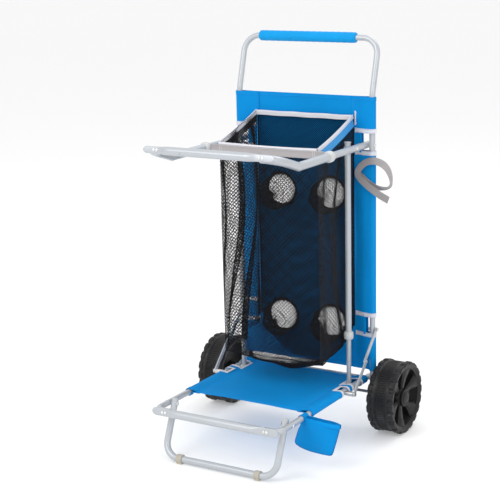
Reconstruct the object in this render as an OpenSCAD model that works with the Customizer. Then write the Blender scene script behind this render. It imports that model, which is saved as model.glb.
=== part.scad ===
// Folding beach cart: a tube frame on two wide wheels, a fabric panel with four net cup
// holders, a net cargo bag, and a platform that folds up against the panel.
// Millimetres, +Z up, front at -Y. Local y = 0 is the plane of the two upright tubes.

/* [Main frame] */
// Distance between the two upright tubes, centre to centre
frame_w = 410; // [400:1:420]
// Outer diameter of the upright tubes, handle tube, arms and platform sides
tube_d = 16; // [15:0.5:17]
// Wall thickness of every tube
tube_wall = 1.2; // [1:0.1:1.5]
// Height at which the handle bends back
knee_z = 925; // [920:1:940]
// Height of the handle's cross bar
handle_z = 1070; // [1050:1:1090]
// How far the handle's cross bar stands behind the uprights
handle_back = 41; // [30:1:50]
// Bend radius of the handle's corners
handle_r = 45; // [40:1:50]
// Diameter of the foam grip
grip_d = 29; // [26:1:34]
// Left end of the foam grip
grip_left = -158; // [-160:1:-140]
// Right end of the foam grip
grip_right = 139; // [120:1:158]

/* [Wheels] */
// Wheel diameter
wheel_d = 200; // [190:1:205]
// Wheel width
wheel_w = 78; // [70:1:80]
// Distance from the middle of the cart to a wheel's inner face
wheel_in = 232; // [231:0.5:236]
// Axle diameter
axle_d = 8; // [8:0.5:10]
// Number of tread lugs round each shoulder
lug_count = 26; // [18:1:30]

/* [Platform] */
// Height of the platform tubes and of their pivot
platform_z = 140; // [138:1:142]
// Distance from the pivot to the platform's front bar
platform_l = 496; // [480:1:500]
// Distance from the middle to each platform side tube
side_x = 186; // [185.5:0.1:186.5]
// Outer diameter of both thick front bars
bar_d = 22; // [20:0.5:23]

/* [Front leg] */
// Distance from the platform pivot to the leg's hinge
leg_hinge_l = 425; // [415:1:430]
// Distance from the uprights to the leg's bottom bar
leg_foot_l = 479; // [470:1:485]
// Outer diameter of the leg tube
leg_d = 18; // [16:0.5:18]
// Distance from the middle to each side of the leg
leg_x = 168; // [166:0.5:168]

/* [Upper bar] */
// Height of the upper bar's pivot
upper_z = 791; // [785:1:800]
// Distance from the pivot to the bend in the upper bar
upper_bend_l = 370; // [360:1:380]
// Distance from the pivot to the upper bar's front
upper_l = 490; // [480:1:495]
// How far the upper bar rises from its bend to its front
upper_rise = 37; // [30:1:45]
// Distance from the middle to each arm
arm_x = 187; // [186:0.5:188]
// Distance from the pivot to the front of each collar
collar_l = 222; // [215:1:230]

/* [Struts and braces] */
// Distance from the middle to each strut
strut_x = 167.5; // [167:0.1:168]
// Distance from the uprights to each strut
strut_l = 70; // [65:1:75]
// Outer diameter of the lower, thinner strut tube
strut_lower_d = 13; // [12:0.5:13]
// Distance from the platform pivot to each end of the folding brace
brace_reach = 143; // [140:1:146]

/* [Fabric] */
// Top of the main panel
panel_top = 920; // [915:1:922]
// Bottom of the main panel
panel_bottom = 164; // [164:1:168]
// Diameter of the cup holders
cup_d = 90; // [80:1:94]
// Depth of the cup holders
cup_depth = 62; // [50:1:66]
// Width of the cargo bag
bag_w = 300; // [290:1:302]
// Depth of the cargo bag at its mouth
bag_depth = 205; // [195:1:205]

/* [Hidden] */

$fn = 48;

frame_x = frame_w / 2;
tube_r = tube_d / 2;
bar_r = bar_d / 2;
leg_r = leg_d / 2;
// the origin is at the middle of the footprint, so the uprights stand behind it
frame_y = (platform_l + bar_r - wheel_d / 2) / 2;
wheel_r = wheel_d / 2;
wheel_out = wheel_in + wheel_w;
axle_z = wheel_r;

// clearances and small hardware
slip = 0.05;
face_gap = 0.3;
pin_d = 6;
head_d = 11;
head_t = 2.5;
main_bottom = 84;
joint_r = tube_r + 0.4;
main_top = knee_z - joint_r - 2 * slip;
cap_t = 3;
plug_l = 8;
crossbar_d = 10;
crossbar_end = 217;
tail_l = 14;

// front bars: a round tube with flattened ends riveted to the bent side tubes
tab_t = 6;
tab_h = 21;
tab_start = 142;
tab_end = 189;
stub_end = 144;
rivet_x = [148, 157];
rivet_d = 4;
rivet_head_t = 1.5;
lap = tab_t / 2 + tube_r;
upper_lap = tab_t / 2 + bar_r;
platform_corner_r = 22;
upper_corner_r = 28;

// folding braces, outboard of the uprights
brace_in = frame_x + tube_r + 2;
brace_t = 3;
brace_step = 0.6;
brace_w = 11;
brace_top = [0, platform_z + brace_reach];
brace_foot = [-brace_reach, platform_z];
brace_mid = (brace_top + brace_foot) / 2;

// fabric
panel_y = 4;
panel_t = 2;
sleeve_t = 1;
upper_notch = [764, 829];
upper_notch_in = 176;
lower_notch = [270, 318];
lower_notch_in = 188;
cup_x = 77;
cup_z = [651, 288];
cup_wall = 1.6;
rim_t = 3;
rim_w = 6;
strut_notch = [50, 99];
bracket_notch = [128, 158];
fabric_notch_in = 155;
fabric_rear = 12;
fabric_front = 332;
bag_wall = 2;

function unit(v) = v / norm(v);

// Everything is drawn in the frame's own coordinates and moved to the footprint's middle.
module at_frame() {
    translate([0, frame_y, 0])
        children();
}

module both_sides() {
    for (side = [-1, 1])
        scale_x(side)
            children();
}

// side -1 is the mirror image of side 1
module scale_x(side) {
    if (side < 0)
        mirror([1, 0, 0])
            children();
    else
        children();
}

// Moves children so that their x, y and z axes lie along the three given directions.
module with_axes(origin, x, y, z) {
    multmatrix([
        [x.x, y.x, z.x, origin.x],
        [x.y, y.y, z.y, origin.y],
        [x.z, y.z, z.z, origin.z],
        [0, 0, 0, 1]
    ])
        children();
}

// Any direction square to v.
function square_to(v) = unit(cross(v, abs(v.x) < 0.9 ? [1, 0, 0] : [0, 1, 0]));

module ring(outer_r, inner_r, length) {
    linear_extrude(length)
        difference() {
            circle(outer_r);
            circle(inner_r);
        }
}

// A tube's cross-section, solid if the wall is 0.
module tube_section(d, wall) {
    difference() {
        circle(d / 2);
        if (wall > 0)
            circle(d / 2 - wall);
    }
}

module straight_pipe(from, to, d, wall = 0) {
    way = unit(to - from);
    across = square_to(way);
    with_axes(from, across, cross(way, across), way)
        linear_extrude(norm(to - from))
            tube_section(d, wall);
}

// A bend of radius r at the corner p, between the directions u (in) and v (out).
module elbow(p, u, v, r, d, wall = 0) {
    turn = acos(u * v);
    inward = unit(v - u * (u * v));
    start = p - u * (r * tan(turn / 2));
    with_axes(start + inward * r, -inward, u, cross(u, inward))
        rotate_extrude(angle = turn, $fn = 96)
            translate([r, 0])
                tube_section(d, wall);
}

// How much of each leg a bend uses up, with no bend at the two ends.
function trim(points, radii, i) =
    i == 0 || i == len(points) - 1 ? 0 :
    radii[i - 1] * tan(acos(unit(points[i] - points[i - 1]) * unit(points[i + 1] - points[i])) / 2);

// A tube along corner points, each inner point rounded with its own radius.
module bent_pipe(points, radii, d, wall = 0) {
    for (i = [0:len(points) - 2]) {
        way = unit(points[i + 1] - points[i]);
        straight_pipe(
            points[i] + way * trim(points, radii, i),
            points[i + 1] - way * trim(points, radii, i + 1),
            d, wall
        );
    }
    for (i = [1:len(points) - 2])
        elbow(
            points[i], unit(points[i] - points[i - 1]), unit(points[i + 1] - points[i]),
            radii[i - 1], d, wall
        );
}

// A round rod along X from x = from to x = to.
module rod_x(from, to, d) {
    translate([from, 0, 0])
        rotate([0, 90, 0])
            cylinder(d = d, h = to - from);
}

// A pin along X with a round head at each end.
module headed_pin(from, to, d) {
    rod_x(from, to, d);
    rod_x(from - head_t, from, head_d);
    rod_x(to, to + head_t, head_d);
}

/* ---- main frame ---- */

module main_tube(side) {
    at_frame()
        scale_x(side)
            translate([frame_x, 0, 0])
                difference() {
                    translate([0, 0, main_bottom])
                        ring(tube_r, tube_r - tube_wall, main_top - main_bottom);
                    translate([0, 0, axle_z])
                        rod_x(-tube_d, tube_d, axle_d + 2 * slip);
                    translate([0, 0, platform_z])
                        rod_x(-tube_d, tube_d, crossbar_d + 2 * slip);
                    translate([0, 0, upper_z])
                        rod_x(-tube_d, tube_d, pin_d + 2 * slip);
                    translate([0, brace_top.x, brace_top.y])
                        rod_x(-tube_d, tube_d, pin_d + 2 * slip);
                }
}

module main_tube_left() {
    color("gainsboro")
        main_tube(-1);
}

module main_tube_right() {
    color("gainsboro")
        main_tube(1);
}

// The handle leans back from the knees; at_knee draws along that lean.
handle_lean = atan2(handle_back, handle_z - knee_z);
handle_l = norm([handle_back, handle_z - knee_z]);
knee_plug_l = 22;

module at_knee() {
    translate([0, 0, knee_z])
        rotate([-handle_lean, 0, 0])
            children();
}

// A ball with one plug down the upright and one plug up the handle's leg.
module knee_joints() {
    plug_r = tube_r - tube_wall - slip;
    color("gainsboro")
        at_frame()
            for (side = [-1, 1])
                translate([side * frame_x, 0, 0]) {
                    translate([0, 0, knee_z])
                        sphere(r = joint_r);
                    translate([0, 0, knee_z - knee_plug_l])
                        cylinder(r = plug_r, h = knee_plug_l);
                    at_knee()
                        cylinder(r = plug_r, h = knee_plug_l);
                }
}

module handle_tube() {
    start = joint_r + 2 * slip;
    color("gainsboro")
        at_frame()
            at_knee()
                bent_pipe([
                    [-frame_x, 0, start],
                    [-frame_x, 0, handle_l],
                    [frame_x, 0, handle_l],
                    [frame_x, 0, start],
                ], [handle_r, handle_r], tube_d, tube_wall);
}

module handle_grip() {
    color("deepskyblue")
        at_frame()
            translate([0, handle_back, handle_z])
                difference() {
                    rod_x(grip_left, grip_right, grip_d);
                    rod_x(grip_left - 1, grip_right + 1, tube_d + 2 * slip);
                }
}

module main_tube_end_caps() {
    color("dimgray")
        at_frame()
            for (side = [-1, 1])
                translate([side * frame_x, 0, main_bottom])
                    upright_plug();
}

// The plug under the axle hole has to stop short of it.
module upright_plug() {
    translate([0, 0, -cap_t])
        cylinder(d = tube_d, h = cap_t);
    cylinder(r = tube_r - tube_wall - slip, h = axle_z - axle_d / 2 - main_bottom - 1);
}

module pivot_crossbar() {
    color("darkgray")
        at_frame()
            translate([0, 0, platform_z])
                rotate([0, 90, 0])
                    translate([0, 0, -crossbar_end])
                        ring(crossbar_d / 2, crossbar_d / 2 - tube_wall, 2 * crossbar_end);
}

module arm_pivot_pins() {
    color("silver")
        at_frame()
            both_sides()
                translate([0, 0, upper_z])
                    headed_pin(arm_x - tube_r - slip, frame_x + tube_r + slip, pin_d);
}

module brace_pivot_pins() {
    color("silver")
        at_frame()
            both_sides()
                translate([0, brace_top.x, brace_top.y])
                    headed_pin(frame_x - tube_r - slip, brace_in + 2 * brace_t + brace_step, pin_d);
}

/* ---- wheels ---- */

nut_d = 16;
nut_t = 4;
axle_end = wheel_out - 8;
hub_out = wheel_out - 12;
hub_in = wheel_in + 4;
hub_r = 24;
cap_r = 25;
rim_inner_r = 86;
tread_r = wheel_r - 7;
lug_root_r = wheel_r - 6;
shoulder_w = 24;
web_t = 8;
spoke_count = 6;
spoke_w = 14;
spoke_t = 22;
spoke_bite = 2;
spacer_wall = 4;
cap_room = 2;

module axle() {
    color("dimgray")
        at_frame()
            translate([0, 0, axle_z])
                rod_x(-axle_end, axle_end, axle_d);
}

module axle_spacers() {
    color("black")
        at_frame()
            both_sides()
                translate([frame_x + tube_r + slip, 0, axle_z])
                    rotate([0, 90, 0])
                        ring(
                            axle_d / 2 + spacer_wall,
                            axle_d / 2 + slip,
                            hub_in - frame_x - tube_r - 3 * slip
                        );
}

module axle_nuts() {
    color("silver")
        at_frame()
            both_sides()
                translate([hub_out + slip, 0, axle_z])
                    rotate([0, 90, 0])
                        ring(nut_d / 2, axle_d / 2 + slip, nut_t);
}

// Each lug fills this stretch of its step; its flat top is at the wheel's full radius.
lug_root = [0.08, 0.74];
lug_top = [0.2, 0.62];
lug_step = 360 / lug_count;
lug_tip_r = wheel_r / cos(lug_step * (lug_top[1] - lug_top[0]) / 2);

// Corner points of a ring of lugs, as [share of the step, radius] turned into points.
function lug_outline() = [
    for (i = [0:lug_count - 1], corner = [
        [lug_root[0], lug_root_r], [lug_top[0], lug_tip_r],
        [lug_top[1], lug_tip_r], [lug_root[1], lug_root_r],
    ])
        let (a = lug_step * (i + corner[0]))
            [corner[1] * cos(a), corner[1] * sin(a)]
];

// One lug is centred on the ring's X axis, which points straight down on the wheel.
module lug_ring(width) {
    rotate([0, 0, -lug_step * (lug_top[0] + lug_top[1]) / 2])
        linear_extrude(width)
            polygon(lug_outline());
}

// The tread: a plain band between two rings of lugs, hollow inside.
module tyre() {
    difference() {
        union() {
            lug_ring(shoulder_w);
            cylinder(r = tread_r, h = wheel_w, $fn = 96);
            translate([0, 0, wheel_w - shoulder_w])
                lug_ring(shoulder_w);
        }
        translate([0, 0, -1])
            cylinder(r = rim_inner_r, h = wheel_w + 2, $fn = 96);
    }
}

module spoke() {
    translate([hub_r - spoke_bite, -spoke_w / 2, 0])
        cube([rim_inner_r - hub_r + 2 * spoke_bite, spoke_w, spoke_t]);
}

module wheel(side) {
    at_frame()
        scale_x(side)
            translate([wheel_in, 0, axle_z])
                rotate([0, 90, 0])
                    difference() {
                        union() {
                            tyre();
                            translate([0, 0, wheel_w / 2 - web_t / 2])
                                cylinder(r = rim_inner_r + 1, h = web_t, $fn = 96);
                            translate([0, 0, hub_in - wheel_in])
                                cylinder(r = hub_r, h = hub_out - hub_in);
                            for (i = [0:spoke_count - 1])
                                rotate([0, 0, i * 360 / spoke_count])
                                    translate([0, 0, wheel_w / 2])
                                        spoke();
                        }
                        translate([0, 0, -1])
                            cylinder(r = axle_d / 2 + slip, h = wheel_w + 2);
                    }
}

module wheel_left() {
    color([0.13, 0.13, 0.14])
        wheel(-1);
}

module wheel_right() {
    color([0.13, 0.13, 0.14])
        wheel(1);
}

module hub_cap(side) {
    at_frame()
        scale_x(side)
            translate([hub_out, 0, axle_z])
                rotate([0, 90, 0])
                    difference() {
                        cylinder(r = cap_r, h = wheel_out - hub_out - 1);
                        translate([0, 0, -1])
                            cylinder(r = nut_d / 2 + cap_room, h = wheel_out - hub_out - cap_room);
                    }
}

module hub_cap_left() {
    color([0.2, 0.2, 0.21])
        hub_cap(-1);
}

module hub_cap_right() {
    color([0.2, 0.2, 0.21])
        hub_cap(1);
}

/* ---- fabric on the main frame ---- */

module panel_notch(inner, range) {
    both_sides()
        translate([inner, -30, range[0]])
            cube([60, 60, range[1] - range[0]]);
}

module main_panel() {
    panel_h = panel_top - panel_bottom;
    color("dodgerblue")
        at_frame()
            difference() {
                union() {
                    translate([-frame_x, panel_y - panel_t / 2, panel_bottom])
                        cube([frame_w, panel_t, panel_h]);
                    both_sides()
                        translate([frame_x, 0, panel_bottom])
                            cylinder(r = tube_r + slip + sleeve_t, h = panel_h);
                }
                both_sides()
                    translate([frame_x, 0, panel_bottom - 1])
                        cylinder(r = tube_r + slip, h = panel_h + 2);
                panel_notch(upper_notch_in, upper_notch);
                panel_notch(lower_notch_in, lower_notch);
                for (x = [-cup_x, cup_x], z = cup_z)
                    translate([x, 0, z])
                        rotate([90, 0, 0])
                            cylinder(d = cup_d, h = 60, center = true, $fn = 72);
            }
}

// A net cup: a rim ring on the front of the panel and a tapered cup that points forward.
module cup(x, z) {
    front = panel_y - panel_t / 2 - face_gap;
    color([0.1, 0.1, 0.12])
        at_frame()
            translate([x, front, z])
                rotate([90, 0, 0]) {
                    ring(cup_d / 2 + rim_w, cup_d / 2 - cup_wall, rim_t);
                    difference() {
                        cylinder(d = cup_d, h = cup_depth, $fn = 72);
                        translate([0, 0, -1])
                            cylinder(r = cup_d / 2 - cup_wall, h = cup_depth + 1 - cup_wall, $fn = 72);
                    }
                }
}

module cup_upper_left() cup(-cup_x, cup_z[0]);
module cup_upper_right() cup(cup_x, cup_z[0]);
module cup_lower_left() cup(-cup_x, cup_z[1]);
module cup_lower_right() cup(cup_x, cup_z[1]);

// The bag's front wall hangs from the upper bar; the sides and bottom stay on the frame.
bag_front_gap = 0.5;
bag_front_bottom = 222;

// Side outline of the bag's sides and bottom as [y, z], from the rear of the mouth.
bag_outline = [
    [-8, 861], [-bag_depth + bag_wall + bag_front_gap, 806],
    [-195 + bag_wall + bag_front_gap, 300], [-184 + bag_wall + bag_front_gap, bag_front_bottom],
    [-150, 176], [-70, 156], [-8, 160],
];

module cargo_bag() {
    color([0.08, 0.1, 0.2])
        at_frame()
            difference() {
                translate([-bag_w / 2, 0, 0])
                    rotate([90, 0, 90])
                        linear_extrude(bag_w)
                            polygon(bag_outline);
                // the inside, open behind, above and in front
                translate([-bag_w / 2 + bag_wall, 0, 0])
                    rotate([90, 0, 90])
                        linear_extrude(bag_w - 2 * bag_wall)
                            polygon([
                                [1, 900], [-bag_depth - 10, 900], [-bag_depth - 10, bag_front_bottom + 1],
                                [-182, bag_front_bottom + 1], [-149, 178],
                                [-70, 156 + bag_wall], [1, 160 + bag_wall],
                            ]);
            }
}

module bag_front() {
    color([0.08, 0.1, 0.2])
        at_frame()
            translate([-bag_w / 2, 0, 0])
                rotate([90, 0, 90])
                    linear_extrude(bag_w)
                        polygon([
                            [-bag_depth, 806], [-195, 300], [-184, bag_front_bottom],
                            [-184 + bag_wall, bag_front_bottom], [-195 + bag_wall, 300],
                            [-bag_depth + bag_wall, 806],
                        ]);
}

// A flat loop of webbing beside the panel, with its free end hanging out to the side.
strap_mid = [229, 706];
strap_r = 46;
strap_w = 20;
strap_t = 2;
strap_y = -14;
strap_turn = -36;
strap_tail = 52;

module umbrella_strap() {
    color("darkgray")
        at_frame()
            translate([strap_mid[0], strap_y, strap_mid[1]])
                rotate([90, 0, 0])
                    linear_extrude(strap_t)
                        difference() {
                            union() {
                                circle(strap_r);
                                rotate(strap_turn)
                                    translate([0, -strap_r])
                                        square([strap_tail, strap_w]);
                            }
                            circle(strap_r - strap_w);
                        }
}

/* ---- platform ---- */

module platform_side(side) {
    at_frame()
        scale_x(side)
            difference() {
                bent_pipe([
                    [side_x, tail_l, platform_z],
                    [side_x, -platform_l + lap, platform_z],
                    [stub_end, -platform_l + lap, platform_z],
                ], [platform_corner_r], tube_d, tube_wall);
                translate([side_x, 0, platform_z])
                    rod_x(-tube_d, tube_d, crossbar_d + 2 * slip);
                translate([side_x, -strut_l, platform_z])
                    rod_x(-tube_d, tube_d, pin_d + 2 * slip);
                translate([side_x, brace_foot.x, platform_z])
                    rod_x(-tube_d, tube_d, bracket_d + 2 * slip);
                translate([side_x, -leg_hinge_l, platform_z])
                    rod_x(-tube_d, tube_d, pin_d + 2 * slip);
                for (x = rivet_x)
                    translate([x, -platform_l + lap, platform_z])
                        rotate([90, 0, 0])
                            cylinder(d = rivet_d + 2 * slip, h = 2 * tube_d, center = true);
            }
}

module platform_side_left() {
    color("gainsboro")
        platform_side(-1);
}

module platform_side_right() {
    color("gainsboro")
        platform_side(1);
}

// A round tube along X with a flattened, riveted tab at each end; its front faces -Y.
module front_bar() {
    translate([-tab_start, 0, 0])
        rotate([0, 90, 0])
            ring(bar_r, bar_r - tube_wall, 2 * tab_start);
    both_sides()
        difference() {
            union() {
                translate([tab_start - tube_wall, 0, 0])
                    rotate([0, 90, 0])
                        cylinder(r = bar_r, h = 2 * tube_wall);
                translate([tab_start, -tab_t / 2, -tab_h / 2])
                    cube([tab_end - tab_start - tab_h / 2, tab_t, tab_h]);
                translate([tab_end - tab_h / 2, 0, 0])
                    rotate([90, 0, 0])
                        cylinder(d = tab_h, h = tab_t, center = true);
            }
            for (x = rivet_x)
                translate([x, 0, 0])
                    rotate([90, 0, 0])
                        cylinder(d = rivet_d + 2 * slip, h = 2 * bar_d, center = true);
        }
}

// Two rivets at each end, through the tab and the round tube behind it.
module bar_rivets(stub_d) {
    both_sides()
        for (x = rivet_x)
            translate([x, -tab_t / 2 - slip, 0])
                rotate([-90, 0, 0]) {
                    cylinder(d = rivet_d, h = tab_t + stub_d + 2 * slip);
                    translate([0, 0, -rivet_head_t])
                        cylinder(d = 2 * rivet_d, h = rivet_head_t);
                    translate([0, 0, tab_t + stub_d + 2 * slip])
                        cylinder(d = 2 * rivet_d, h = rivet_head_t);
                }
}

module platform_front_bar() {
    color("gainsboro")
        at_frame()
            translate([0, -platform_l, platform_z])
                front_bar();
}

module platform_rivets() {
    color("silver")
        at_frame()
            translate([0, -platform_l, platform_z])
                bar_rivets(tube_d);
}

module fabric_notch(range) {
    both_sides()
        translate([fabric_notch_in, -range[1], platform_z - 30])
            cube([60, range[1] - range[0], 60]);
}

module platform_fabric() {
    fabric_l = fabric_front - fabric_rear;
    color("dodgerblue")
        at_frame()
            difference() {
                union() {
                    translate([-side_x, -fabric_front, platform_z - panel_t / 2])
                        cube([2 * side_x, fabric_l, panel_t]);
                    both_sides()
                        translate([side_x, -fabric_rear, platform_z])
                            rotate([90, 0, 0])
                                cylinder(r = tube_r + slip + sleeve_t, h = fabric_l);
                }
                both_sides()
                    translate([side_x, 1, platform_z])
                        rotate([90, 0, 0])
                            cylinder(r = tube_r + slip, h = fabric_front + 2);
                fabric_notch(strut_notch);
                fabric_notch(bracket_notch);
            }
}

module platform_end_caps() {
    color("dimgray")
        at_frame()
            for (side = [-1, 1])
                translate([side * side_x, tail_l, platform_z])
                    rotate([90, 0, 0]) {
                        translate([0, 0, -cap_t])
                            cylinder(d = tube_d, h = cap_t);
                        cylinder(r = tube_r - tube_wall - slip, h = tail_l - crossbar_d / 2 - 1);
                    }
}

module strut_foot_pins() {
    color("silver")
        at_frame()
            both_sides()
                translate([0, -strut_l, platform_z])
                    headed_pin(strut_x - strut_lower_d / 2 - slip, side_x + tube_r + slip, pin_d);
}

bracket_d = 8;
bracket_sleeve_d = 13;

// A short cross pin that carries the lower end of a brace out past the upright.
module brace_brackets() {
    color("silver")
        at_frame()
            both_sides()
                translate([0, brace_foot.x, platform_z]) {
                    headed_pin(side_x - tube_r - slip, brace_out + slip, bracket_d);
                    rod_x(side_x + tube_r + slip, brace_in + brace_t, bracket_sleeve_d);
                }
}

brace_out = brace_in + 2 * brace_t + brace_step;

module leg_hinge_pins() {
    color("silver")
        at_frame()
            both_sides()
                translate([0, -leg_hinge_l, platform_z])
                    headed_pin(leg_x - leg_r - slip, side_x + tube_r + slip, pin_d);
}

// An open-topped pocket that hangs outside the right platform tube and faces forward.
pouch_x = [197, 293];
pouch_y = -352;
pouch_t = 18;
pouch_z = [54, 145];

module umbrella_pouch() {
    color("dodgerblue")
        at_frame()
            translate([0, pouch_y, 0])
                rotate([90, 0, 0])
                    difference() {
                        linear_extrude(pouch_t)
                            polygon(pouch_outline(0));
                        translate([0, 0, bag_wall])
                            linear_extrude(pouch_t - 2 * bag_wall)
                                polygon(pouch_outline(bag_wall));
                    }
}

// The pocket's front outline, drawn in by `inset` and then open at the top.
function pouch_outline(inset) = [
    [pouch_x[0] + inset, pouch_z[1] + inset],
    [pouch_x[0] + inset, pouch_z[0] + 14 + inset],
    [pouch_x[0] + 30, pouch_z[0] + 4 + inset],
    [pouch_x[1] - 30, pouch_z[0] + inset],
    [pouch_x[1] - 10 - inset, pouch_z[0] + inset],
    [pouch_x[1] - inset, pouch_z[1] - 8],
    [pouch_x[1] - inset, pouch_z[1] + inset],
];

/* ---- front leg ---- */

leg_foot_z = leg_r + 3;
leg_rise = platform_z - leg_foot_z;
leg_lean = atan2(leg_foot_l - leg_hinge_l, leg_rise);
leg_l = norm([leg_foot_l - leg_hinge_l, leg_rise]);
leg_tail_l = 12;
leg_corner_r = 41;

// The leg leans back from its bottom bar; at_foot draws along that lean.
module at_foot() {
    translate([0, -leg_foot_l, leg_foot_z])
        rotate([-leg_lean, 0, 0])
            children();
}

module leg_tube() {
    color("gainsboro")
        at_frame()
            at_foot()
                difference() {
                    bent_pipe([
                        [-leg_x, 0, leg_l + leg_tail_l],
                        [-leg_x, 0, 0],
                        [leg_x, 0, 0],
                        [leg_x, 0, leg_l + leg_tail_l],
                    ], [leg_corner_r, leg_corner_r], leg_d, tube_wall);
                    both_sides()
                        translate([leg_x, 0, leg_l])
                            rod_x(-leg_d, leg_d, pin_d + 2 * slip);
                }
}

foot_x = 118;
foot_w = 16;
foot_pad_l = 18;

module leg_feet() {
    color([0.75, 0.74, 0.7])
        at_frame()
            both_sides()
                translate([foot_x - foot_w / 2, -leg_foot_l, leg_foot_z])
                    difference() {
                        union() {
                            rotate([0, 90, 0])
                                cylinder(r = leg_foot_z, h = foot_w);
                            translate([0, -foot_pad_l / 2, -leg_foot_z])
                                cube([foot_w, foot_pad_l, leg_foot_z]);
                        }
                        translate([-1, 0, 0])
                            rotate([0, 90, 0])
                                cylinder(r = leg_r + slip, h = foot_w + 2);
                    }
}

module leg_end_caps() {
    color("dimgray")
        at_frame()
            at_foot()
                for (side = [-1, 1])
                    translate([side * leg_x, 0, leg_l + leg_tail_l]) {
                        cylinder(d = leg_d, h = cap_t);
                        translate([0, 0, -plug_l])
                            cylinder(r = leg_r - tube_wall - slip, h = plug_l);
                    }
}

/* ---- upper bar ---- */

arm_end = collar_l + 18;
arm_collar_r = 15;
strut_collar_r = 13;
collar_t = 22;
packing_l = 38;

module arm(side) {
    at_frame()
        scale_x(side)
            translate([arm_x, tail_l, upper_z])
                rotate([90, 0, 0])
                    difference() {
                        ring(tube_r, tube_r - tube_wall, arm_end + tail_l);
                        for (y = [0, strut_l])
                            translate([0, 0, tail_l + y])
                                rod_x(-tube_d, tube_d, pin_d + 2 * slip);
                    }
}

module arm_left() {
    color("gainsboro")
        arm(-1);
}

module arm_right() {
    color("gainsboro")
        arm(1);
}

// A collar with a sleeve that packs the thin arm inside the thick side tube.
module arm_collars() {
    color("gainsboro")
        at_frame()
            both_sides()
                translate([arm_x, -collar_l + collar_t, upper_z])
                    rotate([90, 0, 0]) {
                        ring(arm_collar_r, tube_r + slip, collar_t - slip);
                        ring(bar_r - tube_wall - slip, tube_r + slip, packing_l);
                    }
}

module arm_end_caps() {
    color("dimgray")
        at_frame()
            for (side = [-1, 1])
                translate([side * arm_x, tail_l, upper_z])
                    rotate([90, 0, 0]) {
                        translate([0, 0, -cap_t])
                            cylinder(d = tube_d, h = cap_t);
                        cylinder(r = tube_r - tube_wall - slip, h = tail_l - pin_d / 2 - 1);
                    }
}

upper_rise_angle = atan2(upper_rise, upper_l - upper_bend_l);
// whole millimetres, so that the tube's straight and bent stretches meet exactly
upper_rise_l = round(norm([upper_l - upper_bend_l, upper_rise]));
bend_ball_r = bar_r + 0.4;
bend_plug_l = 14;

// Beyond the bend the upper bar rises; at_rise draws with -Y along the rising tubes.
module at_rise() {
    translate([0, -upper_bend_l, upper_z])
        rotate([-upper_rise_angle, 0, 0])
            children();
}

module at_upper_bar() {
    at_rise()
        translate([0, -upper_rise_l, 0])
            children();
}

// A straight tube from the collar to the bend, and a bent one from there to the front bar.
module upper_side(side) {
    behind = -upper_rise_l + upper_lap;
    gap = bend_ball_r + 2 * slip;
    at_frame()
        scale_x(side) {
            straight_pipe(
                [arm_x, -collar_l, upper_z], [arm_x, gap - upper_bend_l, upper_z], bar_d, tube_wall
            );
            at_rise()
                difference() {
                    bent_pipe([
                        [arm_x, -gap, 0],
                        [arm_x, behind, 0],
                        [stub_end, behind, 0],
                    ], [upper_corner_r], bar_d, tube_wall);
                    for (x = rivet_x)
                        translate([x, behind, 0])
                            rotate([90, 0, 0])
                                cylinder(d = rivet_d + 2 * slip, h = 2 * bar_d, center = true);
                }
        }
}

// A ball with a plug into each of the two tubes that meet at the bend.
module upper_bend_joints() {
    plug_r = bar_r - tube_wall - slip;
    plug_end = bend_ball_r + bend_plug_l;
    color("gainsboro")
        at_frame()
            for (side = [-1, 1])
                translate([side * arm_x, 0, 0]) {
                    translate([0, -upper_bend_l, upper_z])
                        sphere(r = bend_ball_r);
                    translate([0, -upper_bend_l, upper_z])
                        rotate([-90, 0, 0])
                            cylinder(r = plug_r, h = plug_end);
                    at_rise()
                        rotate([90, 0, 0])
                            cylinder(r = plug_r, h = plug_end);
                }
}

module upper_side_left() {
    color("gainsboro")
        upper_side(-1);
}

module upper_side_right() {
    color("gainsboro")
        upper_side(1);
}

module upper_front_bar() {
    color("gainsboro")
        at_frame()
            at_upper_bar()
                front_bar();
}

module upper_rivets() {
    color("silver")
        at_frame()
            at_upper_bar()
                bar_rivets(bar_d);
}

module strut_top_pins() {
    color("silver")
        at_frame()
            both_sides()
                translate([0, -strut_l, upper_z])
                    headed_pin(strut_x - tube_r - slip, arm_x + tube_r + slip, pin_d);
}

band_h = 20;
band_t = 2;
band_drop = 8;
band_end_x = arm_x - 15;

// Webbing across the front of the bag's mouth, from collar to collar.
module bag_front_band() {
    color("darkgray")
        at_frame()
            translate([-band_end_x, -bag_depth - face_gap - band_t, upper_z - band_drop])
                cube([2 * band_end_x, band_t, band_h]);
}

/* ---- struts ---- */

strut_joint_z = 290;
strut_top = upper_z + tail_l;
strut_overlap = 50;
strut_tail_l = 9;

module strut_upper(side) {
    at_frame()
        scale_x(side)
            translate([strut_x, -strut_l, 0])
                difference() {
                    translate([0, 0, strut_joint_z])
                        ring(tube_r, tube_r - tube_wall, strut_top - strut_joint_z);
                    translate([0, 0, upper_z])
                        rod_x(-tube_d, tube_d, pin_d + 2 * slip);
                }
}

module strut_upper_left() {
    color("gainsboro")
        strut_upper(-1);
}

module strut_upper_right() {
    color("gainsboro")
        strut_upper(1);
}

module strut_lower(side) {
    foot = platform_z - strut_tail_l;
    at_frame()
        scale_x(side)
            translate([strut_x, -strut_l, 0])
                difference() {
                    translate([0, 0, foot])
                        ring(
                            strut_lower_d / 2,
                            strut_lower_d / 2 - tube_wall,
                            strut_joint_z + strut_overlap - foot
                        );
                    translate([0, 0, platform_z])
                        rod_x(-tube_d, tube_d, pin_d + 2 * slip);
                }
}

module strut_lower_left() {
    color("gainsboro")
        strut_lower(-1);
}

module strut_lower_right() {
    color("gainsboro")
        strut_lower(1);
}

module strut_collars() {
    color("gainsboro")
        at_frame()
            both_sides()
                translate([strut_x, -strut_l, strut_joint_z - collar_t])
                    ring(strut_collar_r, strut_lower_d / 2 + slip, collar_t - slip);
}

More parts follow.
